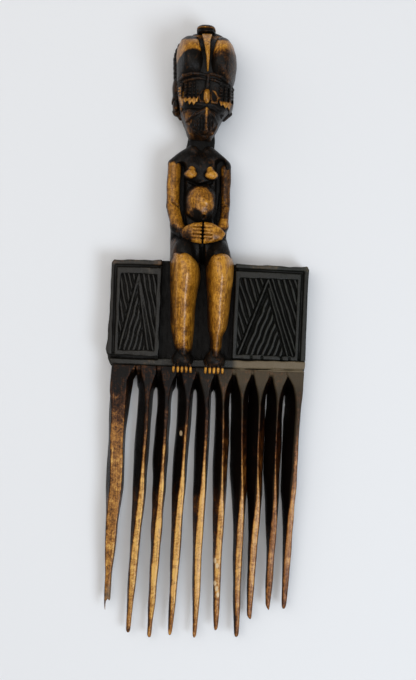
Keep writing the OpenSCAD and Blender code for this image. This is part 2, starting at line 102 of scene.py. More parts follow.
def limb(b, start, end, r0, r1):
    """Distance to a round limb that tapers from r0 to r1."""
    a = np.array(start, dtype=np.float32)
    d = np.array(end, dtype=np.float32) - a
    u, v, w = b.x - a[0], b.y - a[1], b.z - a[2]
    t = unit((u * d[0] + v * d[1] + w * d[2]) / float(d @ d))
    return np.sqrt((u - t * d[0]) ** 2 + (v - t * d[1]) ** 2 + (w - t * d[2]) ** 2) - (r0 + (r1 - r0) * t)


def strand(b, points, radii, soft=0.3):
    """Limbs joined end to end, as one smooth strand."""
    whole = None
    for k in range(len(points) - 1):
        part = limb(b, points[k], points[k + 1], radii[k], radii[k + 1])
        whole = part if whole is None else blend(whole, part, soft)
    return whole


def outline(u, v, points):
    """Distance to a closed outline drawn in the plane of u and v, less than 0 inside it."""
    nearest, inside = 1e9, False
    pts = np.array(points, dtype=np.float32)
    for (x0, y0), (x1, y1) in zip(pts, np.roll(pts, -1, axis=0)):
        ex, ey = x1 - x0, y1 - y0
        t = unit(((u - x0) * ex + (v - y0) * ey) / (ex * ex + ey * ey))
        nearest = np.minimum(nearest, (u - x0 - t * ex) ** 2 + (v - y0 - t * ey) ** 2)
        crossing = ((v >= y0) != (v >= y1)) & (u < x0 + (v - y0) * ex / (ey if ey else 1e-9))
        inside = crossing ^ inside
    return np.where(inside, -1, 1) * np.sqrt(nearest)


def trail(u, v, points):
    """Distance to an open line of points in the plane of u and v."""
    nearest = 1e9
    for (x0, y0), (x1, y1) in zip(points[:-1], points[1:]):
        ex, ey = x1 - x0, y1 - y0
        t = unit(((u - x0) * ex + (v - y0) * ey) / (ex * ex + ey * ey))
        nearest = np.minimum(nearest, (u - x0 - t * ex) ** 2 + (v - y0 - t * ey) ** 2)
    return np.sqrt(nearest)


def through(t, points):
    """A smooth curve through (position, value) points, level past its ends."""
    p, q = np.array(points, dtype=float).T
    slope = np.gradient(q, p)
    k = np.clip(np.searchsorted(p, t) - 1, 0, len(p) - 2)
    h = p[k + 1] - p[k]
    s = unit((t - p[k]) / h)
    leaving = (1 + 2 * s) * (1 - s) ** 2 * q[k] + s * (1 - s) ** 2 * h * slope[k]
    arriving = s * s * (3 - 2 * s) * q[k + 1] + s * s * (s - 1) * h * slope[k + 1]
    return (leaving + arriving).astype(np.float32)


def blend(a, b, soft):
    """Both shapes, with a fillet where they meet."""
    h = unit(0.5 + 0.5 * (b - a) / soft)
    return b + (a - b) * h - soft * h * (1 - h)


def meet(a, b, soft=0.3):
    """What two shapes share, with its edges eased."""
    return -blend(-a, -b, soft)


def groove(d, width, depth):
    """How deep a V cut goes at distance d from its middle."""
    return depth * unit(1 - d / (width / 2))


def bead(d, width, height):
    """How high a round ridge stands at distance d from its middle."""
    return height * np.sqrt(unit(1 - (d / (width / 2)) ** 2))


def even(f, step):
    """Rescales a field to true distance near its surface."""
    g = np.gradient(f, step)
    return f / np.maximum(np.sqrt(g[0] ** 2 + g[1] ** 2 + g[2] ** 2), 0.3)


def knife_marks(b, size, depth, seed):
    """Low waves of hand cutting, about size across."""
    rng = np.random.default_rng(seed)
    waves = 0
    for _ in range(4):
        way = rng.normal(size=3) * (1, 0.6, 1)
        way *= 2 * math.pi / size / np.linalg.norm(way)
        waves = waves + np.sin(b.x * way[0] + b.y * way[1] + b.z * way[2] + rng.uniform(0, 6.3))
    return (waves * depth / 4).astype(np.float32)


def skin(b, f):
    """The closed skin of a shape: one point in each lattice cell that its surface crosses."""
    f = np.array(np.broadcast_to(f, b.shape), dtype=np.float32)
    f[[0, -1], :, :] = f[:, [0, -1], :] = 1
    f[:, :, [0, -1]] = 1
    inside = f < 0
    nx, ny, nz = b.shape
    count = np.zeros((nx - 1, ny - 1, nz - 1), dtype=np.int8)
    for i in (0, 1):
        for j in (0, 1):
            for k in (0, 1):
                count += inside[i:nx - 1 + i, j:ny - 1 + j, k:nz - 1 + k]
    cells = np.argwhere((count > 0) & (count < 8))
    number = np.full(count.shape, -1, dtype=np.int64)
    number[tuple(cells.T)] = np.arange(len(cells))
    total = np.zeros((len(cells), 3))
    crossings = np.zeros((len(cells), 1))
    for axis in range(3):
        one, two = (axis + 1) % 3, (axis + 2) % 3
        for p in (0, 1):
            for q in (0, 1):
                a = np.zeros(3, dtype=int)
                a[one], a[two] = p, q
                e = np.zeros(3, dtype=int)
                e[axis] = 1
                fa, fb = f[tuple((cells + a).T)], f[tuple((cells + a + e).T)]
                hit = (fa < 0) != (fb < 0)
                t = np.where(hit, fa / np.where(hit, fa - fb, 1), 0)
                total += np.where(hit[:, None], a + t[:, None] * e, 0)
                crossings += hit[:, None]
    points = b.lo + (cells + total / crossings) * b.step
    quads = []
    for axis in range(3):
        one, two = (axis + 1) % 3, (axis + 2) % 3
        first = np.take(inside, np.arange(b.shape[axis] - 1), axis)
        second = np.take(inside, np.arange(1, b.shape[axis]), axis)
        edges = np.argwhere(first != second)
        leaving = first[tuple(edges.T)]
        u, v = np.zeros(3, dtype=int), np.zeros(3, dtype=int)
        u[one], v[two] = 1, 1
        ring = [number[tuple((edges - w).T)] for w in (0 * u, u, u + v, v)]
        quad = np.stack(ring, axis=1)
        quads.append(np.where(leaving[:, None], quad, quad[:, ::-1]))
    return points, np.concatenate(quads)


def blurred(f, cells):
    """Box average over a few cells each way, made twice."""
    for axis in (0, 1, 2, 0, 1, 2):
        pad = [(0, 0)] * 3
        pad[axis] = (cells + 1, cells)
        total = np.cumsum(np.pad(f, pad, mode="edge"), axis=axis, dtype=np.float64)
        size = f.shape[axis]
        high = np.take(total, np.arange(2 * cells + 1, 2 * cells + 1 + size), axis)
        low = np.take(total, np.arange(size), axis)
        f = ((high - low) / (2 * cells + 1)).astype(np.float32)
    return f


def sampled(b, f, points):
    """Values of a field at points between the lattice points."""
    g = np.clip((points - b.lo) / b.step, 0, np.array(b.shape) - 1.001)
    i = g.astype(int)
    t = g - i
    total = 0
    for c in range(8):
        o = np.array([c & 1, c >> 1 & 1, c >> 2 & 1])
        weight = np.prod(np.where(o, t, 1 - t), axis=1)
        total = total + weight * f[tuple((i + o).T)]
    return total


def hollows(b, fields, reach):
    """How shut in each place is: above 0 in a hollow, below 0 on an edge."""
    whole = fields[0]
    for f in fields[1:]:
        whole = np.minimum(whole, f)
    whole = np.broadcast_to(whole, b.shape)
    return blurred(unit(0.5 - whole / b.step).astype(np.float32), round(reach / b.step)) - 0.5


# ---- Finishes ----

def linear(code):
    """The linear values of an sRGB hex colour."""
    parts = [int(code[k:k + 2], 16) / 255 for k in (1, 3, 5)]
    return [c / 12.92 if c <= 0.04045 else ((c + 0.055) / 1.055) ** 2.4 for c in parts] + [1]


def add(tree, kind, feeds=(), **settings):
    """Adds a node with its settings; feeds gives each socket a value or a link."""
    made = tree.nodes.new("ShaderNode" + kind)
    for key, value in settings.items():
        setattr(made, key, value)
    for socket, value in dict(feeds).items():
        if isinstance(value, bpy.types.NodeSocket):
            tree.links.new(value, made.inputs[socket])
        else:
            made.inputs[socket].default_value = value
    return made


BLOT_MM = 5.0
COMB_WIDTH_MM = 70
# Where each tone of the bared wood begins, from stain to fully rubbed
STAINED, FIRST_TONE, MIDDLE_TONE, LAST_TONE = 0.18, 0.42, 0.66, 0.95
# Near black of the grime and painted shade in the hollows
SOOT_AND_SHADE = "#080706"
# Pale wood of chips, also the colour of painted sheen
PALE_CHIP_AND_SHEEN = "#cbb48e"
CRAZE = "#8c6038"


def carved_wood(name, stain, tones, fibre_mm, mottle_mm, gloss, shine, edge_wear, greyed="#ffffff"):
    """Knife-carved hardwood under a dark handled stain, rubbed back to bare wood where hands reach.

    tones are the bare wood from barely to fully rubbed. greyed tints the comb's right side.
    """
    material = bpy.data.materials.new(name)
    material.use_nodes = True
    tree = material.node_tree
    tree.nodes.clear()
    place = add(tree, "TexCoord").outputs["Object"]

    # Fibres run along the comb, fine across it and long along it; blots are where stain soaked in
    across, along = fibre_mm
    per_mm = (1 / across / MM, 1 / along / MM, 1 / across / MM)
    stretch = add(tree, "Mapping", {"Vector": place, "Scale": per_mm}).outputs[0]
    fibre = add(tree, "TexNoise", {"Vector": stretch, "Scale": 1.0, "Detail": 3.0, "Roughness": 0.6})
    mottle = add(tree, "TexNoise", {"Vector": place, "Scale": 1 / mottle_mm / MM, "Detail": 5.0,
                                    "Roughness": 0.7})
    blots = add(tree, "TexNoise", {"Vector": place, "Scale": 1 / BLOT_MM / MM, "Detail": 4.0,
                                   "Distortion": 1.2})

    rubbed = add(tree, "Attribute", attribute_name="rubbed").outputs["Fac"]
    shut_in = add(tree, "Attribute", attribute_name="shut_in").outputs["Fac"]
    pale_chips_and_sheen = add(tree, "Attribute", attribute_name="pale_chips_and_sheen").outputs["Fac"]

    # Bare wood shows where it is rubbed and on edges
    reached = rubbed
    for noise, strength in ((mottle, 0.9), (fibre, 0.45), (blots, 0.8)):
        level = add(tree, "Math", {0: noise.outputs["Fac"], 1: strength, 2: -strength / 2},
                    operation="MULTIPLY_ADD")
        reached = add(tree, "Math", {0: reached, 1: level.outputs[0]}, operation="ADD").outputs[0]
    reached = add(tree, "Math", {0: shut_in, 1: -edge_wear, 2: reached}, operation="MULTIPLY_ADD").outputs[0]
    bared = add(tree, "ValToRGB", {"Fac": reached})
    ramp = bared.color_ramp
    ramp.elements[0].position, ramp.elements[0].color = STAINED, linear(stain)
    ramp.elements[1].position, ramp.elements[1].color = LAST_TONE, linear(tones[2])
    for position, tone in ((FIRST_TONE, tones[0]), (MIDDLE_TONE, tones[1])):
        ramp.elements.new(position).color = linear(tone)

    # Thin dark crazing where the blots' edges dried
    edge = add(tree, "Math", {0: blots.outputs["Fac"], 1: 0.5}, operation="SUBTRACT")
    thin = add(tree, "Math", {0: edge.outputs[0]}, operation="ABSOLUTE")
    craze = add(tree, "Math", {0: thin.outputs[0], 1: -22.0, 2: 0.55}, operation="MULTIPLY_ADD",
                use_clamp=True)
    crazed = add(tree, "MixRGB", {"Fac": craze.outputs[0], "Color1": bared.outputs["Color"],
                                  "Color2": linear(CRAZE)}, blend_type="MULTIPLY")
    toned = add(tree, "MixRGB", {"Fac": 0.5, "Color1": crazed.outputs[0], "Color2": fibre.outputs["Fac"]},
                blend_type="OVERLAY")
    # The wood takes the greyed tint little by little towards the comb's right side
    right = add(tree, "SeparateXYZ", {"Vector": place}).outputs["X"]
    turned = add(tree, "Math", {0: right, 1: 1 / COMB_WIDTH_MM / MM, 2: 0.5}, operation="MULTIPLY_ADD",
                 use_clamp=True)
    tinted = add(tree, "MixRGB", {"Fac": turned.outputs[0], "Color1": toned.outputs[0],
                                  "Color2": linear(greyed)}, blend_type="MULTIPLY")
    # Dirt and painted shade darken the hollows towards soot black
    grime_and_shade = add(tree, "Math", {0: shut_in, 1: 3.6, 2: -0.08}, operation="MULTIPLY_ADD", use_clamp=True)
    grimed_and_shaded = add(tree, "MixRGB", {"Fac": grime_and_shade.outputs[0], "Color1": tinted.outputs[0],
                                 "Color2": linear(SOOT_AND_SHADE)})
    # Chips show pale wood; the same pale colour lays a painted sheen on the tooth roots and the ledge
    chipped = add(tree, "MixRGB", {"Fac": pale_chips_and_sheen, "Color1": grimed_and_shaded.outputs[0],
                                   "Color2": linear(PALE_CHIP_AND_SHEEN)})

    rough = add(tree, "Math", {0: mottle.outputs["Fac"], 1: 0.4, 2: gloss - 0.2}, operation="MULTIPLY_ADD")
    dull = add(tree, "Math", {0: grime_and_shade.outputs[0], 1: 0.3, 2: rough.outputs[0]}, operation="MULTIPLY_ADD")
    # Soot and stain lie matt; only wood polished by hands takes a shine
    polish = add(tree, "Math", {0: reached, 1: 1.6, 2: -0.5}, operation="MULTIPLY_ADD", use_clamp=True)
    coat = add(tree, "Math", {0: polish.outputs[0], 1: 0.55}, operation="MULTIPLY")
    raised = add(tree, "Math", {0: mottle.outputs["Fac"], 1: 0.8, 2: fibre.outputs["Fac"]},
                 operation="MULTIPLY_ADD")
    bump = add(tree, "Bump", {"Height": raised.outputs[0], "Strength": 0.5, "Distance": 0.3 * MM})
    shader = add(tree, "BsdfPrincipled", {"Base Color": chipped.outputs[0], "Roughness": dull.outputs[0],
                                          "Specular IOR Level": shine, "Normal": bump.outputs[0], "IOR": 1.5,
                                          "Coat Weight": coat.outputs[0], "Coat Roughness": 0.22})
    add(tree, "OutputMaterial", {"Surface": shader.outputs[0]})
    return material


# Old stained hardwood cut with a knife: near black, with a grey-green sheen on flats that face the light
board_wood = carved_wood(
    "stained_hardwood_knife_cut", stain="#15130f", tones=("#24211a", "#54391f", "#8a6238"),
    fibre_mm=(0.5, 9), mottle_mm=0.9, gloss=0.42, shine=0.3, edge_wear=0.5, greyed="#b4dcd2")
# The same wood on the figure, handled for years: golden where rubbed, near black in the cuts
figure_wood = carved_wood(
    "stained_hardwood_hand_worn", stain="#0d0b09", tones=("#3f2610", "#8a5a14", "#c48c30"),
    fibre_mm=(0.5, 5), mottle_mm=0.8, gloss=0.36, shine=0.13, edge_wear=0.5)
# Scraped teeth, polished by hair: long fine streaks of tan and brown, pinker at the right
tooth_wood = carved_wood(
    "scraped_hardwood_teeth", stain="#0a0604", tones=("#47280e", "#9a6624", "#dcae58"),
    fibre_mm=(0.35, 24), mottle_mm=0.8, gloss=0.4, shine=0.12, edge_wear=0.4, greyed="#dccacc")


# ---- Pieces ----

def piece(b, node, solid, shut_in, material, rub, chips_and_sheen=None):
    """Makes the visual piece that stands for a node of the frame."""
    points, quads = skin(b, solid)
    mesh = bpy.data.meshes.new(node + "_carved")
    mesh.from_pydata((points * MM).tolist(), [], quads.tolist())
    mesh.update()
    normals = np.zeros(len(points) * 3, dtype=np.float32)
    mesh.vertex_normals.foreach_get("vector", normals)
    normals = normals.reshape(-1, 3)
    values = {"rubbed": unit(rub(points, normals)), "shut_in": sampled(b, shut_in, points),
              "pale_chips_and_sheen": chips_and_sheen(points) if chips_and_sheen else np.zeros(len(points))}
    for name, value in values.items():
        mesh.attributes.new(name, "FLOAT", "POINT").data.foreach_set("value", value.astype(np.float32))
    mesh.polygons.foreach_set("use_smooth", np.ones(len(quads), dtype=bool))
    mesh.materials.append(material)
    made = bpy.data.objects.new(node + "_carved", mesh)
    bpy.context.scene.collection.objects.link(made)
    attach(made, "root")
    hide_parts(node)
    return made


def inside_of(points, shape, soft):
    """1 inside an outline seen from the front, falling to 0 over a soft edge."""
    return unit(0.5 - outline(points[:, 0], points[:, 1], shape) / soft)


def near(points, centre, radii, soft=0.4):
    """1 at the middle of an egg-shaped place, falling to 0 past its edge."""
    far = np.sqrt((((points - centre) / radii) ** 2).sum(axis=1))
    return unit((1 + soft - far) / soft)


def facing(normals, way, start=0.1, full=0.6):
    """1 where a surface looks along way, 0 where it looks aside."""
    along = normals @ (np.array(way) / np.linalg.norm(way))
    return unit((along - start) / (full - start))


# ---- Board, borders, hatching and ledge ----

board_lo, board_hi = corners("board")
ledge_lo, ledge_hi = corners("root_ledge")
front_z = ledge_hi[2]


def board_group():
    b = Block((board_lo[0] - 1.5, ledge_lo[1] - 1.5, -1),
              (board_hi[0] + 1.5, board_hi[1] + 1.5, front_z + 1.5), FINE)
    top, root = board_hi[1], ledge_lo[1]
    half_w = (ledge_hi[0] - ledge_lo[0]) / 2
    # The sides swell towards the ledge, and the top edge rises a little at its left
    shape = outline(b.x, b.y, [(-half_w + 1.9, root), (-half_w + 0.8, root + 2.5), (-half_w, root + 6),
                               (-half_w + 0.5, root + 14), (-half_w + 0.8, top - 1.2),
                               (-half_w + 1.6, top - 0.1), (-18, top + 0.4), (0, top + 0.1),
                               (20, top - 0.1), (half_w - 1.0, top), (half_w - 0.4, top - 1.2),
                               (half_w - 0.3, root + 14), (half_w - 0.2, root + 5), (half_w - 0.5, root)])
    slab = meet(shape, np.maximum(-b.z, b.z - front_z), 0.6)
    slab = slab + knife_marks(b, 14, 0.25, 1)
    fields = {}
    # The low strip behind the legs, between the borders
    strip_lo, strip_hi = corners("left_border")[1][0], corners("right_border")[0][0]
    field_z = board_hi[2]
    strip_z = corners("left_leg")[0][2]

    # The slab behind everything, cut lower behind the legs
    beside = np.maximum(strip_lo - b.x, b.x - strip_hi)
    chopped = strip_z - 0.6 + 0.12 * np.sin(b.x * 1.9) + 0.15 * np.sin(b.y * 0.9 + b.x)
    floor = np.where(beside < 0, chopped, field_z)
    fields["board"] = meet(slab, b.z - floor, 0.25)

    # The ledge: a plain bar at the right, stepped and rougher at the left
    ledge_y = ledge_hi[1]
    slope = (b.x - strip_hi) / (half_w - strip_hi)
    low_cut = root + 0.6 + 0.5 * np.clip(slope, -0.3, 1)
    on_front = b.z > front_z - 2
    ledge = meet(slab, np.maximum(b.y - ledge_y + 0.3 - 0.5 * np.clip(slope, -1, 1), root - b.y), 0.5)
    ledge = ledge + groove(np.abs(b.y - low_cut), 0.9, 0.7) * on_front
    step = np.where(b.x < strip_lo, groove(np.abs(b.y - root - 2.9), 0.8, 0.6), 0)
    ledge = ledge + step * on_front
    fields["root_ledge"] = ledge + knife_marks(b, 6, 0.25, 2)

    for side, sign in SIDE.items():
        lo, hi = corners(side + "_border")
        inner_lo, inner_hi = corners(side + "_hatching")
        reach = np.maximum(lo[0] - b.x - 2 * (sign < 0), b.x - hi[0] - 2 * (sign > 0))
        rails = meet(slab, np.maximum(np.maximum(reach, lo[1] - b.y), field_z - 0.4 - b.z), 0.35)
        sunk = np.maximum(np.maximum(inner_lo[0] - b.x, b.x - inner_hi[0]),
                          np.maximum(inner_lo[1] - b.y, b.y - inner_hi[1]))
        rails = meet(rails, -sunk, 0.4)
        # A line scored along the top and down the outer side, and dashes cut below the field
        outer = sign * (half_w - 2.4)
        corner = (outer, top - 2.2)
        inner = strip_lo if sign < 0 else strip_hi
        scored = trail(b.x, b.y, [(inner, top - 2.0), corner, (outer - 0.2 * sign, lo[1])])
        rails = rails + groove(scored, 1.3, 1.1) * on_front
        if sign > 0:
            below = inner_lo[1] - 1.1
            rails = rails + groove(np.abs(b.y - below + 0.9), 0.8, 0.8) * on_front
            for x in (16.5, 20.5, 27.5, 30.5):
                nick = np.maximum(np.abs(b.x - x) * 0.8, np.abs(b.y - below) - 0.5)
                rails = rails + groove(nick, 0.9, 0.7) * on_front
        fields[side + "_border"] = rails + knife_marks(b, 5, 0.22, 3 + sign)

        # Ridges slant one way inside a tall triangle and the other way outside it
        w, h = inner_hi[0] - inner_lo[0], inner_hi[1] - inner_lo[1]
        mid = (inner_lo[0] + inner_hi[0]) / 2
        apex, feet = (mid, inner_hi[1] - 0.2), [mid - w * 0.47, mid + w * 0.47]
        u, v = b.x - mid, inner_hi[1] - b.y
        lean = math.atan2(h, w * 0.47)
        within = np.abs(u) * math.sin(lean) < v * math.cos(lean)
        rising = u * math.sin(lean) - (inner_hi[1] - v - inner_lo[1]) * math.cos(lean)
        falling = u * math.sin(lean) + (inner_hi[1] - v - inner_lo[1]) * math.cos(lean)
        pitch = 1.95 if sign > 0 else 1.7
        wander = 0.12 * np.sin(b.y * 0.7 + b.x * 0.5)
        across = np.where(within, rising, falling) + wander
        ridge = 1 - np.abs((across / pitch) % 1 - 0.5) * 2
        left_leg, right_leg = (trail(b.x, b.y, [apex, (foot, inner_lo[1])]) for foot in feet)
        legs = np.minimum(left_leg, right_leg)
        inner_leg = trail(b.x, b.y, [(apex[0] + 0.2, apex[1] - 3.4), (feet[1] - 1.9, inner_lo[1])])
        carved = unit(ridge * 1.7)
        carved = np.where(np.minimum(legs, inner_leg) < 1.0, 0, carved)
        carved = np.maximum(carved, unit(1.7 - np.minimum(legs, inner_leg) * 2.2))
        height = inner_hi[2] - 0.1 - (1.5 if sign > 0 else 1.1) * (1 - carved)
        steep = 1 / math.sqrt(1 + 1.6 ** 2)
        bed = np.maximum(sunk - 0.3, field_z - 0.5 - b.z)
        cut = meet(bed, (b.z - height) * steep, 0.15)
        fields[side + "_hatching"] = cut + knife_marks(b, 3, 0.1, 7 + sign)

    shut_in = hollows(b, list(fields.values()), NEARBY)

    def rub_board(p, n):
        return 0.06 * facing(n, (0, 0, 1))

    def rub_rails(p, n):
        edge = unit((p[:, 1] - top + 2.4) / 0.8)
        patch = unit(0.5 + 0.5 * np.sin(p[:, 0] * 0.33 + 1.0)) * 0.25 + 0.2
        tan = edge * patch + near(p, (-23, top - 4, front_z), (2.5, 1.2, 3)) * 0.3
        return np.maximum(0.08, tan) * facing(n, (0.1, 0.1, 1))

    def rub_ledge(p, n):
        worn = near(p, (-20, root + 2.2, front_z), (3.5, 1.3, 3)) * 0.3
        return np.maximum(0.12, worn) * facing(n, (0, 0.1, 1))

    # A pale painted sheen along the front edge of the ledge's right part
    def painted_ledge_sheen(p):
        return 0.2 * unit((p[:, 0] - strip_hi) / 2) * unit((p[:, 2] - front_z + 0.9) / 0.4)

    # Painted shade of the legs turns the low floor behind them near black
    painted_niche_shade = np.where((beside < 0.4) & (b.z < field_z + 1) & (b.z > 1), 0.4, shut_in)
    piece(b, "board", fields["board"], np.maximum(painted_niche_shade, shut_in), board_wood, rub_board)
    piece(b, "root_ledge", fields["root_ledge"], shut_in, board_wood, rub_ledge, painted_ledge_sheen)
    for side in SIDE:
        piece(b, side + "_border", fields[side + "_border"], shut_in, board_wood, rub_rails)
        piece(b, side + "_hatching", fields[side + "_hatching"], shut_in, board_wood, rub_rails)


# ---- Teeth ----

LAST_TOOTH = 10
# How far each tooth is rubbed bare, the slants of two worn tips, and where old chips show
RUBBED = {1: 0.42, 2: 0.6, 3: 0.64, 4: 0.7, 5: 0.74, 9: 0.46, 10: 0.5}
SLANTS = {8: 0.9, 9: 1.4}
CHIPS = {4: [(-8.1, -43.5)], 6: [(6.3, -90), (7.2, -91.8), (6.6, -98.4), (7.4, -100.3), (7.9, -102.6)]}
# How strong a pale painted sheen lies on the roots of the right-hand teeth
ROOT_SHEEN = {5: 0.015, 6: 0.05, 7: 0.09, 8: 0.09, 9: 0.09, 10: 0.09}


def tooth(number):
    """One tooth: a narrow polished ridge in front, a broad dark flank at its left, drawn out to a point."""
    node = "tooth_%02d" % number
    lo, hi = corners(node)
    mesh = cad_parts[node].data
    spots = np.zeros(len(mesh.vertices) * 3)
    mesh.vertices.foreach_get("co", spots)
    spots = spots.reshape(-1, 3) / MM
    levels = []
    for y in sorted({round(v, 1) for v in spots[:, 1]}):
        row = spots[np.abs(spots[:, 1] - y) < 0.3]
        if np.ptp(row[:, 0]) > 1.2:
            centre = (row[:, 0].min() + row[:, 0].max()) / 2
            levels.append((y, centre, np.ptp(row[:, 0]), row[:, 2].min(), row[:, 2].max()))
    levels = [level for k, level in enumerate(levels) if k == 0 or level[0] - levels[k - 1][0] > 0.8]
    b = Block((lo[0] - 1, lo[1] - 1, lo[2] - 1), (hi[0] + 1, hi[1] + 2, hi[2] + 1), COARSE)
    ys, xs, ws, backs, fronts = np.array(levels).T
    down = hi[1] - b.y
    x = np.interp(b.y, ys, xs) + 0.15 * np.sin(b.y * 0.09 + number)
    half = np.interp(b.y, ys, ws) / 2
    # Each point stays blunt: it keeps its width until close to its end
    blunt = through(b.y - lo[1], [(0, 0.5), (0.8, 0.8), (2.5, 1.0), (6, 1.2), (12, 1.42), (18, 1.5)])
    half = np.maximum(half * (1.03 + 0.03 * np.sin(b.y * 0.21 + number * 2)), blunt)
    back, front = np.interp(b.y, ys, backs), np.interp(b.y, ys, fronts)
    a = b.x - x
    # The front ridge: a triangle at the root, thin below it, then most of the tooth's width
    if number == 1:
        ridge = through(down, [(0, 8.0), (6, 6.6), (14, 5.3), (30, 4.6), (60, 3.8), (85, 1.9)])
        edge = through(down, [(0, 0.2), (10, 0.3), (85, 0.4)])
    else:
        ridge = through(down, [(-1, 7.0), (1, 6.4), (3, 5.2), (6, 3.5), (9, 2.3), (13, 1.5), (20, 1.2),
                               (36, 1.3), (50, 1.9), (66, 2.3), (80, 2.0), (95, 1.1)])
        edge = through(down, [(-1, 0.15), (4, 0.2), (9, 0.4), (36, 0.4), (66, 0.4), (95, 0.35)])
    # Each tooth widens into the ledge, so a saw cut ends in a narrow arch
    if number == 1:
        left, right = half, half + through(down, [(-1, 2.6), (6, 2.2), (12, 1.3), (20, 0.6), (28, 0)])
    else:
        left = right = half + through(down, [(-1, 1.3), (2, 1.1), (5, 0.6), (8, 0.25), (12, 0)])
    ridge_right = (half if number == 1 else right) - edge
    ridge_left = np.maximum(ridge_right - ridge, -left + 0.3)
    middle = back + (front - back) * 0.4
    # The saw cuts narrow towards the back near the root, and slope forward where they end
    splay = through(down, [(-1, 1.6), (3, 1.45), (7, 1.3), (36, 1.22), (52, 1.0), (68, 0.65)])
    narrow = through(down, [(-1, 1.6), (7, 1.58), (34, 1.58), (46, 1.3), (58, 0.95), (70, 0.65)])
    upright = np.minimum(splay, 1.0)
    left_splay = {1: upright}.get(number, narrow if number > 6 else splay)
    right_splay = {1: upright, LAST_TOOTH: upright}.get(number, narrow if number > 5 else splay)
    reach = 4.8 if number == 1 else 3.6
    arch = np.maximum(np.maximum(0.3, 0.95 * down - 0.6), 1.3 * down - 0.8 - 3.0 * (reach - np.abs(a)))
    cut_end = np.maximum(np.abs(a) - reach, (b.z - front + arch) * 0.3)
    if number in (1, LAST_TOOTH):
        cut_end = np.maximum(cut_end, (-a if number == 1 else a) - half + 0.4)
    cut_end = np.maximum(cut_end, np.maximum(back - b.z, np.abs(b.x) - board_hi[0] + 0.7))

    def plane(x0, z0, x1, z1):
        nx, nz = -(z1 - z0), x1 - x0
        return (nx * (a - x0) + nz * (b.z - z0)) / np.sqrt(nx * nx + nz * nz)

    body = plane(-left, middle, ridge_left, front)
    for face in (plane(ridge_left, front, ridge_right, front - 0.25),
                 plane(ridge_right, front - 0.25, right, middle),
                 plane(-half * left_splay, back, -left, middle),
                 plane(right, middle, half * right_splay, back),
                 back - b.z,
                 np.abs(b.x) - board_hi[0] + 0.4):
        body = meet(body, face, 0.4)
    body = np.minimum(body, cut_end)
    tip = lo[1]
    if number in SLANTS:
        body = meet(body, (tip + 0.2 + SLANTS[number] * (half - a) - b.y) * 0.6, 0.5)
    else:
        rounding = egg(b, (xs[0], tip + 2.2, (backs[0] + fronts[0]) / 2), (1.05, 2.2, 2.4))
        body = np.where(b.y < tip + 2.2, np.maximum(body, rounding), body)
    body = body + knife_marks(b, 11, 0.16, 20 + number)
    if number == 1:
        # The end is broken: a splinter is left on the outer side
        body = np.where(a > -0.4, np.maximum(body, tip + 4.4 + 0.35 * np.sin(a * 6) - b.y), body)
    body = np.maximum(body, b.y - hi[1] - 0.6)
    shut_in = hollows(b, [body], NEARBY)

    def rub(p, n):
        low = unit((hi[1] - (2 if number == 1 else 12) - p[:, 1]) / 30)
        far = unit((hi[1] - (40 if number < 7 else 52) - p[:, 1]) / 9)
        end = unit((p[:, 1] - tip - 2) / 16)
        # Faces turned from the key light stay dark: dark stain with painted shade on the left flanks
        lit = facing(n, (0.35, 0, 1), 0.3, 0.95)
        front_wear_and_lit = (0.14 + (RUBBED.get(number, 0.6) + 0.06) * low) * lit * (0.6 + 0.4 * end)
        return front_wear_and_lit + (0.3 if number < 7 else 0.16) * far * (1 - lit)

    def chips_and_sheen(p):
        if number == 1:
            return 0.15 * near(p, (xs[0] + 0.6, tip + 6, 6), (1.2, 3.5, 4), 0.3)
        # A pale painted sheen lies on the fronts of the right-hand teeth, most of it at their roots
        on_front = unit((p[:, 2] - np.interp(p[:, 1], ys, fronts) + 1.0) / 0.4)
        root = unit((p[:, 1] - hi[1] + 13) / 9) * ROOT_SHEEN.get(number, 0)
        along = unit((p[:, 1] - hi[1] + 52) / 12) * 0.05 * (number > 5)
        painted_sheen = on_front * np.maximum(root, along)
        bits = [near(p, (x0, y0, front_z - 3), (0.5, 0.9, 5), 0.15) for x0, y0 in CHIPS.get(number, [])]
        return np.max(bits + [painted_sheen], axis=0)

    piece(b, node, body, shut_in, tooth_wood, rub, chips_and_sheen)


# ---- Legs and feet ----

TOE_PITCH = 1.55


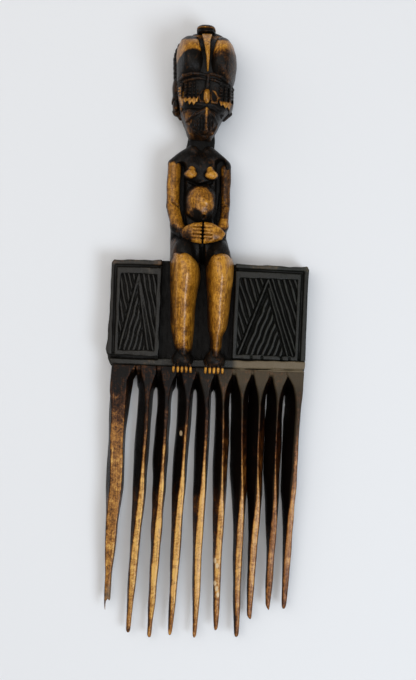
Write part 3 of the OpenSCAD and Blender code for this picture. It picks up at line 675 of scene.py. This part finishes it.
def leg_group():
    lo, hi = corners("left_leg")
    right_hi = corners("right_leg")[1]
    toe_y = corners("left_foot")[0][1]
    b = Block((lo[0] - 1.5, toe_y - 1.5, lo[2] - 2), (right_hi[0] + 1.5, hi[1] + 2, hi[2] + 1.5), FINE)
    fields = {}
    knee, ankle = hi[1], lo[1]
    middle_x = (lo[0] + right_hi[0]) / 2
    v = b.y - ankle
    length = knee - ankle
    front = through(v, [(-2, 16.2), (2, 17), (8, 18.4), (16, 20.2), (24, 21.8), (30, 22.9), (34, 22.3),
                        (36, 20.4), (length, 17)])
    for side, sign in SIDE.items():
        if sign < 0:
            sides = [(-2, -10.8, -5.8), (1, -11.1, -5.5), (4, -12.1, -5.2), (8, -13.1, -4.9),
                     (14, -13.6, -4.8), (22, -13.9, -4.2), (30, -14.3, -3.5), (32, -14.3, -3.9),
                     (34, -14.2, -5.0), (36, -14.1, -6.6), (length, -13.9, -7.6)]
        else:
            sides = [(-2, 1.6, 5.3), (1, 1.5, 5.4), (4, 1.4, 5.6), (7, 1.0, 6.0), (8.4, 0.6, 6.7),
                     (14, 0.1, 7.6), (22, -0.6, 8.3), (30, -1.2, 8.7), (34, -1.0, 8.4), (36, 0.0, 7.6),
                     (length, 0.8, 7.0)]
        low_side = through(v, [(at, start) for at, start, _ in sides])
        high_side = through(v, [(at, end) for at, _, end in sides])
        centre = (low_side + high_side) / 2 - middle_x
        half = (high_side - low_side) / 2 * 1.02
        a = (b.x - middle_x - centre) / half
        depth = (b.z - lo[2]) / (front - lo[2])
        r = (np.abs(a) ** 2.3 + np.clip(depth, 0, None) ** 2.6) ** (1 / 2.4)
        body = even((r - 1) * 4, b.step)
        body = meet(body, lo[2] - 0.3 - b.z, 0.2)
        body = meet(body, np.maximum(b.y - knee - 0.4, ankle - 1.2 - b.y), 0.8)
        body = body + knife_marks(b, 9, 0.2, 40 + sign)
        fields[side + "_leg"] = body

        foot_lo, foot_hi = corners(side + "_foot")
        fx = (foot_lo[0] + foot_hi[0]) / 2
        y = foot_lo[1]
        foot = egg(b, (fx, y + 4.6, foot_lo[2] + 1.6), (4.0, 3.6, 4.8))
        foot = blend(foot, limb(b, (fx, y + 4, 11.5), (fx, ankle + 0.8, 13.4), 2.6, 1.9), 1.5)
        foot = meet(foot, y + 2.4 - b.y, 0.8)
        for k in range(5):
            tx = fx + (k - 2) * TOE_PITCH
            toe = limb(b, (tx, y + 0.3, 14.0), (tx * 0.92 + fx * 0.08, y + 2.8, 15.0), 0.64, 0.5)
            foot = np.minimum(foot, toe)
        fields[side + "_foot"] = np.maximum(foot, front_z - 0.4 - b.z)
    shut_in = hollows(b, list(fields.values()) + [b.z - lo[2]], NEARBY_LIMB)

    def rub_leg(p, n):
        low = unit((p[:, 1] - ankle - 0.3 - 0.5 * np.sin(p[:, 0] * 1.3)) / 2.0)
        high = unit((knee - 0.3 - p[:, 1] - 0.6 * np.sin(p[:, 0])) / 0.9)
        knees = near(p, (middle_x, knee - 6, front_z + 8), (14, 5, 14), 0.6)
        shin = unit((p[:, 1] - ankle - 2) / 12)
        return 0.12 + (0.46 + 0.12 * shin + 0.1 * knees) * low * high * facing(n, (0.25, 0, 1), -0.6, 0.4)

    def rub_foot(p, n):
        feet = [sum(corners(side + "_foot"))[0] / 2 for side in SIDE]
        toes = (p[:, 0] - np.where(p[:, 0] < middle_x, *feet)) / TOE_PITCH
        across = np.abs(toes - np.round(toes)) * TOE_PITCH
        nails = unit((toe_y + 2.4 - p[:, 1]) / 0.7) * unit((p[:, 2] - 14.3) / 0.5)
        return 0.06 + 0.8 * nails * unit((0.6 - across) / 0.25)

    for side in SIDE:
        piece(b, side + "_leg", fields[side + "_leg"], shut_in, figure_wood, rub_leg)
        piece(b, side + "_foot", fields[side + "_foot"], shut_in, figure_wood, rub_foot)


# ---- Hips, torso, arms, hands and neck ----

def torso_group():
    hip_lo = corners("hips")[0]
    lo, hi = corners("torso")
    neck_lo, neck_hi = corners("neck")
    arm_lo, arm_hi = corners("left_arm")[0], corners("right_arm")[1]
    b = Block((arm_lo[0] - 2, hip_lo[1] - 3, 0), (arm_hi[0] + 3.5, neck_hi[1] + 4, hi[2] + 3), FINE)
    x, lap, waist, shoulder = (lo[0] + hi[0]) / 2, hip_lo[1], lo[1], hi[1]
    fields = {}

    pelvis = egg(b, (x + 0.6, lap + 6, 9.5), (9.6, 7, 7))
    left_thigh = egg(b, (x - 4.6, lap + 2.2, 12.0), (5.0, 7.5, 8.2))
    right_thigh = egg(b, (x + 8.2, lap + 1.6, 12.0), (5.1, 7.0, 8.2))
    hips = blend(pelvis, np.minimum(left_thigh, right_thigh), 1.4)
    sides = [(x - 9.7, lap - 2), (x - 9.9, lap + 9), (x - 8, lap + 11.5), (x + 9, lap + 11.5),
             (x + 10.8, lap + 9.0), (x + 12.2, lap + 3.5), (x + 13.2, lap - 2)]
    sides = outline(b.x, b.y, sides)
    hips = blend(hips, meet(sides, np.maximum(b.z - 12.5, 2.2 - b.z), 2.5), 1.5)
    hips = meet(hips, sides, 0.8)
    cleft = trail(b.x, b.y, [(x + 2, lap + 6), (x + 2.2, lap + 3), (x + 2.4, lap - 3)])
    hips = hips + groove(cleft, 2.4, 2.2) * (b.z > 9)
    hips = meet(hips, lap - 0.3 - b.y + np.where(b.z > front_z, -2.5, 0), 0.4)
    hips = meet(hips, 2.2 - b.z, 0.8)
    fields["hips"] = hips + knife_marks(b, 5, 0.25, 50)

    v = b.y - waist
    half = through(v, [(-2, 6.8), (4, 6.2), (10, 6.6), (18, 7.4), (24, 7.6), (30, 7), (33, 5)])
    front = through(v, [(-2, 15.5), (4, 16), (8, 15.5), (14, 14.5), (20, 13.8), (24, 15.2), (29, 15.6),
                        (32, 13.5), (34, 11)])
    mid_z = 8.5
    a = (b.x - x) / half
    d = np.where(b.z > mid_z, (b.z - mid_z) / (front - mid_z), (mid_z - b.z) / 6.6)
    chest = even(((np.abs(a) ** 2.6 + d ** 2.6) ** (1 / 2.6) - 1) * 6, b.step)
    chest = meet(chest, np.maximum(b.y - shoulder - 0.6, waist - 2 - b.y), 1.5)
    yoke = limb(b, (x - 8.4, shoulder - 4.3, 9.5), (x - 2.5, shoulder - 0.2, 9.5), 3.0, 3.3)
    yoke = blend(yoke, limb(b, (x + 2.5, shoulder - 0.2, 9.5), (x + 8.6, shoulder - 4.8, 9.5), 3.3, 2.8), 1.0)
    belly = egg(b, (x + 1.1, waist + 14.2, 13), (6.3, 7.6, 7.8))
    torso = blend(blend(chest, yoke, 1.2), belly, 0.5)
    # The wood isn't cut through between the arms and the body
    web = outline(b.x, b.y, [(x - 9, waist), (x - 9.5, shoulder - 6), (x - 5, shoulder - 3),
                             (x + 6, shoulder - 3), (x + 9.6, shoulder - 6), (x + 9.2, waist)])
    torso = blend(torso, meet(web, np.maximum(b.z - 8.0, 4 - b.z), 0.6), 0.6)
    # Deep cuts part the arms from the body, and a rib line crosses under the chest
    for points in ([(x - 6.8, shoulder - 6), (x - 6.8, waist + 10), (x - 5.8, waist + 5)],
                   [(x + 7.4, shoulder - 4), (x + 8.2, waist + 18), (x + 7.6, waist + 6)]):
        torso = torso + groove(trail(b.x, b.y, points), 4.6, 4.4) * (b.z > 9)
    ribs = trail(b.x, b.y, [(x - 5, waist + 22.5), (x, waist + 20.6), (x + 4.5, waist + 22)])
    torso = torso + groove(ribs, 1.6, 1.0) * (b.z > 9)
    navel = np.sqrt((b.x - x - 2.1) ** 2 + (b.y - waist - 9) ** 2)
    torso = torso + groove(navel, 1.3, 1.0) * (b.z > 9) - bead(np.abs(navel - 1.0), 0.6, 0.3) * (b.z > 9)
    fields["torso"] = torso + knife_marks(b, 4, 0.22, 51)

    for side, sign in SIDE.items():
        bx = x + (-2.9 if sign < 0 else 4.0)
        by = shoulder - (8.2 if sign < 0 else 8.4)
        teat = limb(b, (bx + 0.7 * -sign, by + 3.2, 13.4), (bx + 0.3 * sign, by - 0.4, 15.8), 1.3, 1.9)
        teat = blend(teat, egg(b, (bx + 0.3 * sign, by - 0.5, 15.6), (2.5, 1.7, 2.3)), 0.6)
        fields[side + "_breast"] = meet(teat, 13.0 - b.z, 0.3) + knife_marks(b, 4, 0.15, 52)

        if sign < 0:
            upper = limb(b, (x - 9.3, shoulder - 4.6, 9.8), (x - 9.4, waist + 13.6, 11.0), 2.6, 2.3)
            lower = limb(b, (x - 9.2, waist + 13.0, 11.4), (x - 7.4, waist + 5.6, 14.0), 2.4, 2.4)
            wrist = limb(b, (x - 7.4, waist + 5.4, 13.6), (x - 4.9, waist + 3.0, 15.0), 2.4, 2.3)
            under = limb(b, (x - 7.6, waist + 6.4, 11.6), (x - 7.6, waist + 1.2, 10.6), 2.3, 2.1)
            wrist = blend(wrist, under, 1.6)
        else:
            upper = limb(b, (x + 9.6, shoulder - 5.6, 9.6), (x + 9.9, waist + 13.2, 10.0), 1.9, 1.6)
            lower = limb(b, (x + 9.8, waist + 12.6, 10.6), (x + 9.3, waist + 6.0, 13.0), 1.7, 1.7)
            wrist = limb(b, (x + 9.3, waist + 6, 13.0), (x + 7.3, waist + 3.0, 14.6), 1.9, 2.1)
            under = limb(b, (x + 9.2, waist + 6.4, 11.4), (x + 9.0, waist + 1.2, 10.6), 1.8, 1.7)
            wrist = blend(wrist, under, 1.4)
        arm = blend(blend(upper, lower, 0.5), wrist, 0.8)
        bend = trail(b.x, b.y, [(x + sign * 6.2, waist + 12.2), (x + sign * 9.2, waist + 14.0)])
        arm = arm + groove(bend, 0.9, 0.8) * (b.z > 11)
        fields[side + "_arm"] = meet(arm, 4 - b.z, 0.5) + knife_marks(b, 6, 0.2, 53 + sign)

        lens = [(x + 2, waist - 0.9), (x + 2, waist + 7.3), (x + 2 + sign * 3.5, waist + 6.9),
                (x + 2 + sign * 6.5, waist + 5.4), (x + 2 + sign * 8.4, waist + 3.4),
                (x + 2 + sign * 7, waist + 1), (x + 2 + sign * 3.5, waist - 0.4)]
        palm = outline(b.x, b.y, lens)
        arch = 19.6 - 0.035 * (b.x - x - 1.5) ** 2 - 0.09 * (b.y - waist - 3.2) ** 2
        palm = meet(palm, (b.z - arch) * 0.9, 1.0)
        palm = np.maximum(palm, 13 - b.z)
        split = np.abs(b.x - x - 2.1)
        palm = palm + groove(split, 0.7, 0.8)
        for k in range(4):
            y = waist + 1.1 + k * 1.35
            cut = trail(b.x, b.y, [(x + 2, y), (x + 2 + sign * 3.4, y + 0.1)])
            palm = palm + groove(cut, 0.7, 0.7)
        fields[side + "_hand"] = palm + knife_marks(b, 5, 0.12, 56 + sign)

    nx = (neck_lo[0] + neck_hi[0]) / 2
    throat = limb(b, (nx - 0.3, neck_lo[1] - 3, 7.4), (nx + 0.1, neck_hi[1] + 3.5, 7.0), 5.3, 4.7)
    fields["neck"] = meet(throat, 3.2 - b.z, 1.2) + knife_marks(b, 4, 0.4, 60)
    shut_in = hollows(b, list(fields.values()), NEARBY_LIMB)

    def rub_torso(p, n):
        round_belly = inside_of(p, [(x - 4.4, waist + 10.0), (x - 4.6, waist + 14),
                                    (x - 3.6, waist + 18.2), (x - 0.6, waist + 19.9),
                                    (x + 2.8, waist + 19.6), (x + 5.2, waist + 17), (x + 6.1, waist + 13),
                                    (x + 5, waist + 11.2), (x + 3.6, waist + 10.4), (x + 2.2, waist + 7.6),
                                    (x + 1.2, waist + 10.4), (x - 1, waist + 11.6), (x - 3.4, waist + 10)],
                                1.2)
        return np.maximum(0.08, 0.62 * round_belly) * facing(n, (0.2, 0, 1), 0.0, 0.5)

    def rub_breast(p, n):
        high = unit((p[:, 2] - 14.2) / 1.2)
        return np.clip(0.78 * facing(n, (0.1, 0.1, 1), 0.2, 0.7) * high, 0.05, 1)

    def rub_arm(p, n):
        high = unit((shoulder - 3.0 - p[:, 1]) / 1.5)
        side = np.where((p[:, 0] > x) & (p[:, 1] > waist + 9), 0.4, 0.66)
        cuff = unit((p[:, 1] - waist - 3.4 - 0.3 * np.abs(p[:, 0] - x - 1)) / 2 + 1)
        return np.maximum(0.07, high * cuff * side * facing(n, (0.15, 0, 1), -0.1, 0.6))

    def rub_hand(p, n):
        shade = near(p, (x - 5, waist + 1.2, 16), (3.2, 2.2, 6), 0.6)
        return (0.68 - 0.3 * shade) * facing(n, (0.1, 0, 1), 0, 0.5)

    def rub_lap(p, n):
        return 0.05 + 0.3 * near(p, (x - 8.6, lap + 2, 13), (1.6, 6, 8))

    def rub_neck(p, n):
        return np.full(len(p), 0.05)

    piece(b, "hips", fields["hips"], shut_in, figure_wood, rub_lap)
    piece(b, "torso", fields["torso"], shut_in, figure_wood, rub_torso)
    # The neck gets painted shade from the chin: its shut_in is raised by 0.4, which turns it near black
    piece(b, "neck", fields["neck"], shut_in + 0.4, figure_wood, rub_neck)
    for side in SIDE:
        piece(b, side + "_breast", fields[side + "_breast"], shut_in, figure_wood, rub_breast)
        piece(b, side + "_arm", fields[side + "_arm"], shut_in, figure_wood, rub_arm)
        piece(b, side + "_hand", fields[side + "_hand"], shut_in, figure_wood, rub_hand)


# ---- Head ----

def head_group():
    lo, hi = corners("head")
    crest_lo, crest_hi = corners("crest")
    x, chin, crown = (lo[0] + hi[0]) / 2, lo[1], hi[1]
    b = Block((lo[0] - 4, chin - 2, -1), (hi[0] + 4, crest_hi[1] + 1.5, hi[2] + 3), FINE)
    u, v = b.x - x, b.y - chin
    fields = {}
    left_side = [(-1, 5.4), (2, 7.0), (4, 7.6), (6, 8.3), (8.5, 9.3), (11, 9.9), (15, 10.6), (20, 11.0),
                 (24, 11.3), (30, 11.6), (33, 11.2), (36, 9.9), (38, 7.8), (39.2, 5.6), (40, 3.4),
                 (40.4, 0.6)]
    right_side = [(-1, 2.4), (2, 3.8), (4, 4.8), (6, 5.8), (8, 6.8), (10.5, 8.8), (12.5, 9.8), (15, 10.4),
                  (18, 10.3), (21, 10.0), (24, 10.7), (28, 11.1), (31, 10.8), (34.5, 9.6), (37, 7.6),
                  (39, 5.0), (39.8, 3.0), (40.4, 0.4)]
    outer = [(-w, at) for at, w in left_side] + [(w, at) for at, w in right_side[::-1]]
    edge = outline(u, v, outer)
    front = through(v, [(-1, 13), (1.5, 17.6), (4, 19.4), (8, 20.2), (11, 19.6), (15, 18.8), (19, 18.8),
                        (22, 19.8), (27, 20.6), (31, 19.6), (34, 17.0), (37, 13.4), (40, 10.5)])
    back = np.maximum(through(v, [(-1, 5), (6, 3), (12, 0.8), (18, 0.2), (32, 0.2), (37, 2.4), (40, 6)]), 0.1)
    mid_z = 8.5
    half = np.where(u < 0, through(v, left_side), through(v, right_side))
    half = np.maximum(half, 2.5)
    d = np.where(b.z > mid_z, (b.z - mid_z) / (front - mid_z), (mid_z - b.z) / (mid_z - back))
    skull = even(((np.abs(u / half) ** 2.5 + d ** 2.7) ** (1 / 2.6) - 1) * 8, b.step)
    skull = meet(skull, np.maximum(edge, -0.9 - v + 0.15 * (b.z - 8)), 1.6)
    # A cut behind the edge of the face parts it from the ears and the hair
    skull = skull + groove(np.abs(b.z - 8.8), 2.6, 1.6) * (u < 0) * (v > 6)
    muzzle = trail(u, v, [(-9, 10.2), (-5, 10.8), (-1.5, 10.2), (2.5, 10.4), (6, 8.4)])
    skull = skull + groove(muzzle, 2.4, 0.9) * (b.z > 14)
    fields["head"] = skull + knife_marks(b, 6, 0.2, 70)

    # Two swellings above the brow, with a dark slit at the top of each beside the ridge
    slits = {"left": [(-3.5, 36.4), (-1.6, 36.4), (-0.9, 30.5), (-1.2, 28.4)],
             "right": [(0.8, 36.6), (3.1, 36.6), (1.9, 31), (1.2, 28), (0.8, 30)]}
    lobes = {}
    for side, sign in SIDE.items():
        cx = x + sign * 6.7
        across = np.abs((b.x - cx) / 6.8)
        round_lobe = ((v - 26.8) / np.where(v < 26.8, 7.6, 10.9)) ** 2 + ((b.z - 11.4) / 11.4) ** 2
        lobe = even(((across ** 2.8 + round_lobe ** 1.4) ** (1 / 2.8) - 1) * 6.5, b.step)
        lobe = meet(lobe, np.maximum(edge + 0.3 + 0.033 * np.clip(b.z - 12, 0, None) ** 2, 11 - b.z), 1.4)
        lobe = lobe + 2.6 * unit(0.5 - outline(u, v, slits[side])) * (b.z > 10)
        lobes[side] = lobe + knife_marks(b, 7, 0.15, 71 + sign)
        fields[side + "_forehead"] = lobes[side]

    wedge = outline(u, v, [(-2.3, 38.0), (1.4, 38.0), (0.8, 34.5), (0.9, 28), (0.6, 23.2), (0.1, 23.2),
                           (-0.3, 28), (-1.5, 34.5)])
    rise = through(v, [(22, 20.8), (25, 23.0), (28, 24.1), (31, 23.4), (34, 21.2), (37, 17.4), (38.6, 14.5)])
    fields["forehead_ridge"] = np.maximum(meet(wedge, (b.z - rise) * 0.85, 0.6), 12 - b.z)

    base = np.minimum(skull, np.minimum(lobes["left"], lobes["right"]))
    solid = np.broadcast_to(base < 0, b.shape)
    tops = b.lo[2] + b.step * (b.shape[2] - 1 - np.argmax(solid[:, :, ::-1], axis=2))

    def laid(points, lift):
        """Points given from the chin's middle, laid on the front of the head."""
        out = []
        for pu, pv in points:
            i = int(round((x + pu - b.lo[0]) / b.step))
            j = int(round((chin + pv - b.lo[1]) / b.step))
            out.append((x + pu, chin + pv, tops[i, j] + lift if solid[i, j].any() else 11))
        return out

    brow = None
    for points in ([(-10.4, 20.4), (-8.2, 21.7), (-5.5, 22.4), (-2.4, 22.6), (0.2, 22.0)],
                   [(0.9, 22.5), (3.2, 22.3), (5.2, 21.7), (7.4, 20.6), (9.8, 18.8)],
                   [(-10.2, 19.0), (-7.8, 20.2), (-5, 20.9), (-2.4, 21.0), (0.0, 20.6)],
                   [(1.2, 20.7), (3.2, 20.5), (5.4, 19.8), (7.4, 18.9), (9.5, 17.6)]):
        line = strand(b, laid(points, 0.05), [0.5, 0.68, 0.75, 0.72, 0.5])
        brow = line if brow is None else np.minimum(brow, line)
    fields["brow"] = brow

    bridge = strand(b, laid([(0.6, 22.0), (0.5, 19), (0.3, 15.8), (0.3, 13.6)], 0.4),
                    [0.6, 0.75, 1.0, 1.2], 0.6)
    tip = egg(b, tuple(np.array(laid([(0.3, 14.4)], 0.8)[0])), (1.2, 2.7, 1.6))
    nose = blend(bridge, tip, 0.6)
    for points in ([(-0.9, 17.0), (-1.9, 15.8), (-2.4, 14.5), (-1.9, 12.5), (-0.7, 12.7)],
                   [(2.0, 17.0), (3.3, 16.2), (4.5, 14.2), (3.9, 12.4), (2.4, 12.5), (1.8, 14.3),
                    (2.0, 16.0)]):
        wing = strand(b, laid(points, 0.2), [0.3, 0.4, 0.45, 0.45, 0.4, 0.35, 0.3])
        nose = np.minimum(nose, wing)
    fields["nose"] = nose

    pads = {
        "left": [(-10.4, 20.4), (-10.3, 16.3), (-9.0, 14.2), (-8.2, 13.6), (-7.4, 12.2), (-6.6, 13.1),
                 (-5.8, 11.4), (-5.0, 12.5), (-4.3, 11.1), (-3.5, 12.4), (-2.8, 12.4), (-2.6, 15),
                 (-3.2, 20.4)],
        "right": [(4.6, 20.0), (4.9, 13.0), (5.6, 11.2), (6.4, 11.9), (7.2, 10.7), (8.0, 11.4),
                  (8.8, 10.3), (9.8, 11.4), (10.2, 14), (10.0, 19.2)]}
    for side, sign in SIDE.items():
        pad = np.maximum(outline(u, v, pads[side]), -(skull + 0.7))
        pad = meet(pad, skull - 0.7, 0.3)
        for column in (-8.2, -6.6, -5.0, -3.5) if sign < 0 else (6.4, 8.0, 9.5):
            pad = pad + groove(np.abs(u - column), 0.8, 0.9) * (v > (13.2 if sign > 0 else 13.6))
        rows = np.abs((v / 1.2) % 1 - 0.5) * 1.2
        pad = pad + groove(rows, 0.7, 0.6) * (v > 14)
        if sign < 0:
            ring = np.abs(np.sqrt((u + 8.2) ** 2 + (v - 17.9) ** 2) - 0.8)
            pad = pad - bead(ring, 0.7, 0.4)
        fields[side + "_cheek"] = pad

    lozenge = [(0.6, 9.7), (3.2, 7.2), (4.6, 4.6), (3.0, 2.2), (0.4, 0.9), (-2.6, 1.8), (-5.0, 4.2),
               (-2.8, 7.2)]
    lips = outline(u, v, lozenge)
    mouth = np.maximum(lips - 0.6, -(skull + 0.8))
    mouth = meet(mouth, skull - 0.1, 0.2)
    bars = np.abs(((u - 0.5) / 1.1) % 1 - 0.5) * 1.1
    bars = groove(0.55 - bars, 0.7, 0.8) + groove(np.abs((v / 1.25) % 1 - 0.5) * 1.25, 0.5, 0.3)
    teeth = np.maximum(np.maximum(lips + 0.7, skull - 0.65), -(skull + 0.8)) + bars
    lines = [([(0.6, 9.0), (0.6, 5.5), (0.5, 2.0)], 0.5, [0.45, 0.6, 0.5]),
             ([(-6.6, 5.4), (-3.4, 7.9), (0.4, 10.0), (3.2, 7.4), (4.4, 5.2)], 0.6,
              [0.45, 0.6, 0.65, 0.6, 0.5]),
             ([(-4.2, 2.4), (0.3, 0.6), (2.8, 1.9), (4.2, 4.4)], 0.6, [0.4, 0.7, 0.75, 0.5])]
    for points, lift, radii in lines:
        teeth = np.minimum(teeth, strand(b, laid(points, lift), radii))
    fields["mouth"] = np.minimum(mouth, teeth)

    # Hair behind the face, cut into locks, and a topknot on the crown
    behind = outline(u, v, [(-w - 1.1, at) for at, w in left_side]
                     + [(w - 0.2, at) for at, w in right_side[::-1]])
    band = meet(behind, np.maximum(np.maximum(21 - v, b.z - 8.4), 0.4 - b.z), 2.2)
    locks = np.abs((np.arctan2(v - 26, u) * 8) % 1 - 0.5)
    band = band + groove(0.5 - locks, 0.3, 0.4) * (b.z > 2)
    fields["hair_band"] = band
    cap_x = (crest_lo[0] + crest_hi[0]) / 2 - 0.9
    knot = egg(b, (cap_x, crown + 0.3, 9.5), (3.9, 2.2, 5.0))
    knot = meet(knot, np.maximum(np.abs(b.x - cap_x) - 3.6, b.y - crest_hi[1] + 0.1), 0.8)
    knot = knot + groove(np.abs(b.y - crown - 0.2), 1.1, 0.9) * (b.z > 9)
    fields["crest"] = knot + knife_marks(b, 4, 0.15, 74)

    ears = egg(b, (x - 10.7, chin + 19.6, 6.2), (1.9, 4.6, 3.4))
    ears = blend(ears, egg(b, (x - 10.9, chin + 13.6, 6.2), (1.8, 4.4, 3.4)), 0.6)
    ears = blend(ears, limb(b, (x - 10.6, chin + 12, 6.2), (x - 9.0, chin + 8.6, 6.6), 1.3, 0.9), 0.8)
    curl = np.abs(np.sqrt((u + 11.0) ** 2 + ((v - 12.8) * 0.6) ** 2) - 1.3)
    fields["left_ear"] = ears + groove(curl, 0.8, 0.5)
    right_lobe = limb(b, (x + 8.9, chin + 11.0, 6.0), (x + 6.8, chin + 8.6, 6.4), 1.0, 0.7)
    fields["right_ear"] = blend(right_lobe, egg(b, (x + 8.7, chin + 16.5, 6.0), (1.3, 4.3, 3.4)), 0.6)
    shut_in = hollows(b, list(fields.values()), NEARBY)

    def rub_forehead(p, n):
        pu, pv = p[:, 0] - x, p[:, 1] - chin
        start = np.where(pu < 0, 30.8 - 0.09 * (pu + 4.5) ** 2, 30.2 + 0.3 * (pu - 5))
        fade = np.where(pu < 0, 0.9, 4.0)
        tan = unit((pv - start) / fade + 0.5) * unit((35.6 - pv) / 0.8)
        warm = 0.2 * unit((pu - 3) / 4)
        return 0.05 + warm + (0.7 - warm) * tan

    def rub_head(p, n):
        pv = p[:, 1] - chin
        cheek = near(p, (x - 10.2, chin + 15.5, 14), (2.2, 5.0, 8), 0.4)
        top = unit((pv - 35.6) / 1.0) * unit((38.4 - pv) / 0.6)
        jaw = near(p, (x - 6.8, chin + 4.2, 14), (3.4, 4.6, 7), 0.5)
        jaw = np.maximum(jaw, near(p, (x + 1.6, chin + 1.6, 16), (4.0, 2.4, 8), 0.5))
        worn = np.max([0.66 * cheek, 0.5 * top, 0.36 * jaw], axis=0)
        return 0.06 + worn * facing(n, (0, 0.1, 1), -0.1, 0.4)

    def rub_ridge(p, n):
        return np.clip(0.85 - 0.03 * (chin + 34 - p[:, 1]), 0.3, 0.8)

    def rub_nose(p, n):
        pu, pv = p[:, 0] - x, p[:, 1] - chin
        low = unit((17.6 - pv) / 1.0)
        most = np.where(np.abs(pu - 0.3) < 1.3, 0.55, np.where(pu < 0, 0.1, 0.38))
        return 0.1 + most * low * facing(n, (0.2, 0, 1), 0.1, 0.6)

    def rub_cheek(p, n):
        pu, pv = p[:, 0] - x, p[:, 1] - chin
        foot = unit((np.where(pu < -9.1, 18.6, np.where(pu < 0, 14.6, 13.6)) - pv) / 0.9)
        return 0.12 + 0.6 * foot * facing(n, (0, 0, 1), 0.1, 0.5)

    def rub_mouth(p, n):
        pu, pv = p[:, 0] - x, p[:, 1] - chin
        bar = unit(1.1 - np.abs(pu - 0.55) * 1.4)
        lip = unit((2.6 - pv) / 1.0) * unit((pu + 1) / 1.5)
        return 0.17 + np.maximum(0.38 * bar * (pv > 2.5), 0.1 * lip) * facing(n, (0.2, 0, 1), 0.1, 0.5)

    def rub_low(p, n):
        return np.full(len(p), 0.06)

    def rub_brow(p, n):
        return np.full(len(p), 0.16)

    def rub_crest(p, n):
        return 0.08 + 0.6 * unit(1 - np.abs(p[:, 1] - crown - 0.75) / 0.5)

    def rub_ear(p, n):
        return 0.2 * facing(n, (-0.3, 0, 1), 0, 0.5)

    rubs = {"head": rub_head, "left_forehead": rub_forehead, "right_forehead": rub_forehead,
            "forehead_ridge": rub_ridge, "brow": rub_brow, "nose": rub_nose, "left_cheek": rub_cheek,
            "right_cheek": rub_cheek, "mouth": rub_mouth, "hair_band": rub_low, "crest": rub_crest,
            "left_ear": rub_ear, "right_ear": rub_ear}
    for node, rub in rubs.items():
        piece(b, node, fields[node], shut_in, figure_wood, rub)


board_group()
for number in range(1, LAST_TOOTH + 1):
    tooth(number)
leg_group()
torso_group()
head_group()


# ---- Floor, light and camera ----

lo, hi = (np.array(c) / MM for c in cad_box)
aim = np.array([(lo[0] + hi[0]) / 2 + 0.5, (lo[1] + hi[1]) / 2 - 2.2, front_z])

floor_mesh = bpy.data.meshes.new("floor")
floor_mesh.from_pydata([(-1, -1, 0), (1, -1, 0), (1, 1, 0), (-1, 1, 0)], [], [(0, 1, 2, 3)])
floor = bpy.data.objects.new("floor", floor_mesh)
floor.location.z = -0.02 * MM
# Pale matt card, which gives no glare
paper = bpy.data.materials.new("pale_matt_card")
paper.use_nodes = True
card = paper.node_tree.nodes["Principled BSDF"].inputs
card["Base Color"].default_value = linear("#e6eaee")
card["Roughness"].default_value = 0.8
floor_mesh.materials.append(paper)
bpy.context.scene.collection.objects.link(floor)

world = bpy.data.worlds.new("studio")
bpy.context.scene.world = world
world.use_nodes = True
room = world.node_tree.nodes["Background"].inputs
room["Color"].default_value = linear("#f6efe9")
room["Strength"].default_value = 0.27


def softbox(name, where, size, power, colour):
    """A square soft light that looks at the comb."""
    lamp = bpy.data.lights.new(name, "AREA")
    lamp.shape = "SQUARE"
    lamp.size = size
    lamp.energy = power
    lamp.color = linear(colour)[:3]
    holder = bpy.data.objects.new(name, lamp)
    holder.location = where
    towards = -np.array(where) / np.linalg.norm(where)
    holder.rotation_euler = (math.acos(-towards[2]), 0, math.atan2(towards[1], towards[0]) - math.pi / 2)
    bpy.context.scene.collection.objects.link(holder)


softbox("key", (0.55, -0.36, 0.84), 0.45, 5.2, "#eef6ff")
softbox("overhead", (-0.2, 0.2, 1.2), 1.2, 7.6, "#fffaf6")
softbox("fill", (-0.75, 0.55, 0.85), 1.0, 2.5, "#fff8f2")

distance = 450 * MM
view_height = 249 * MM
roll = math.radians(2.3)
camera = bpy.data.objects.new("camera", bpy.data.cameras.new("camera"))
camera.data.sensor_fit = "VERTICAL"
camera.data.angle = 2 * math.atan(view_height / 2 / distance)
camera.location = (aim[0] * MM, aim[1] * MM, aim[2] * MM + distance)
camera.rotation_euler = (0, 0, roll)
bpy.context.scene.collection.objects.link(camera)
bpy.context.scene.camera = camera
bpy.context.scene.view_settings.view_transform = "Standard"
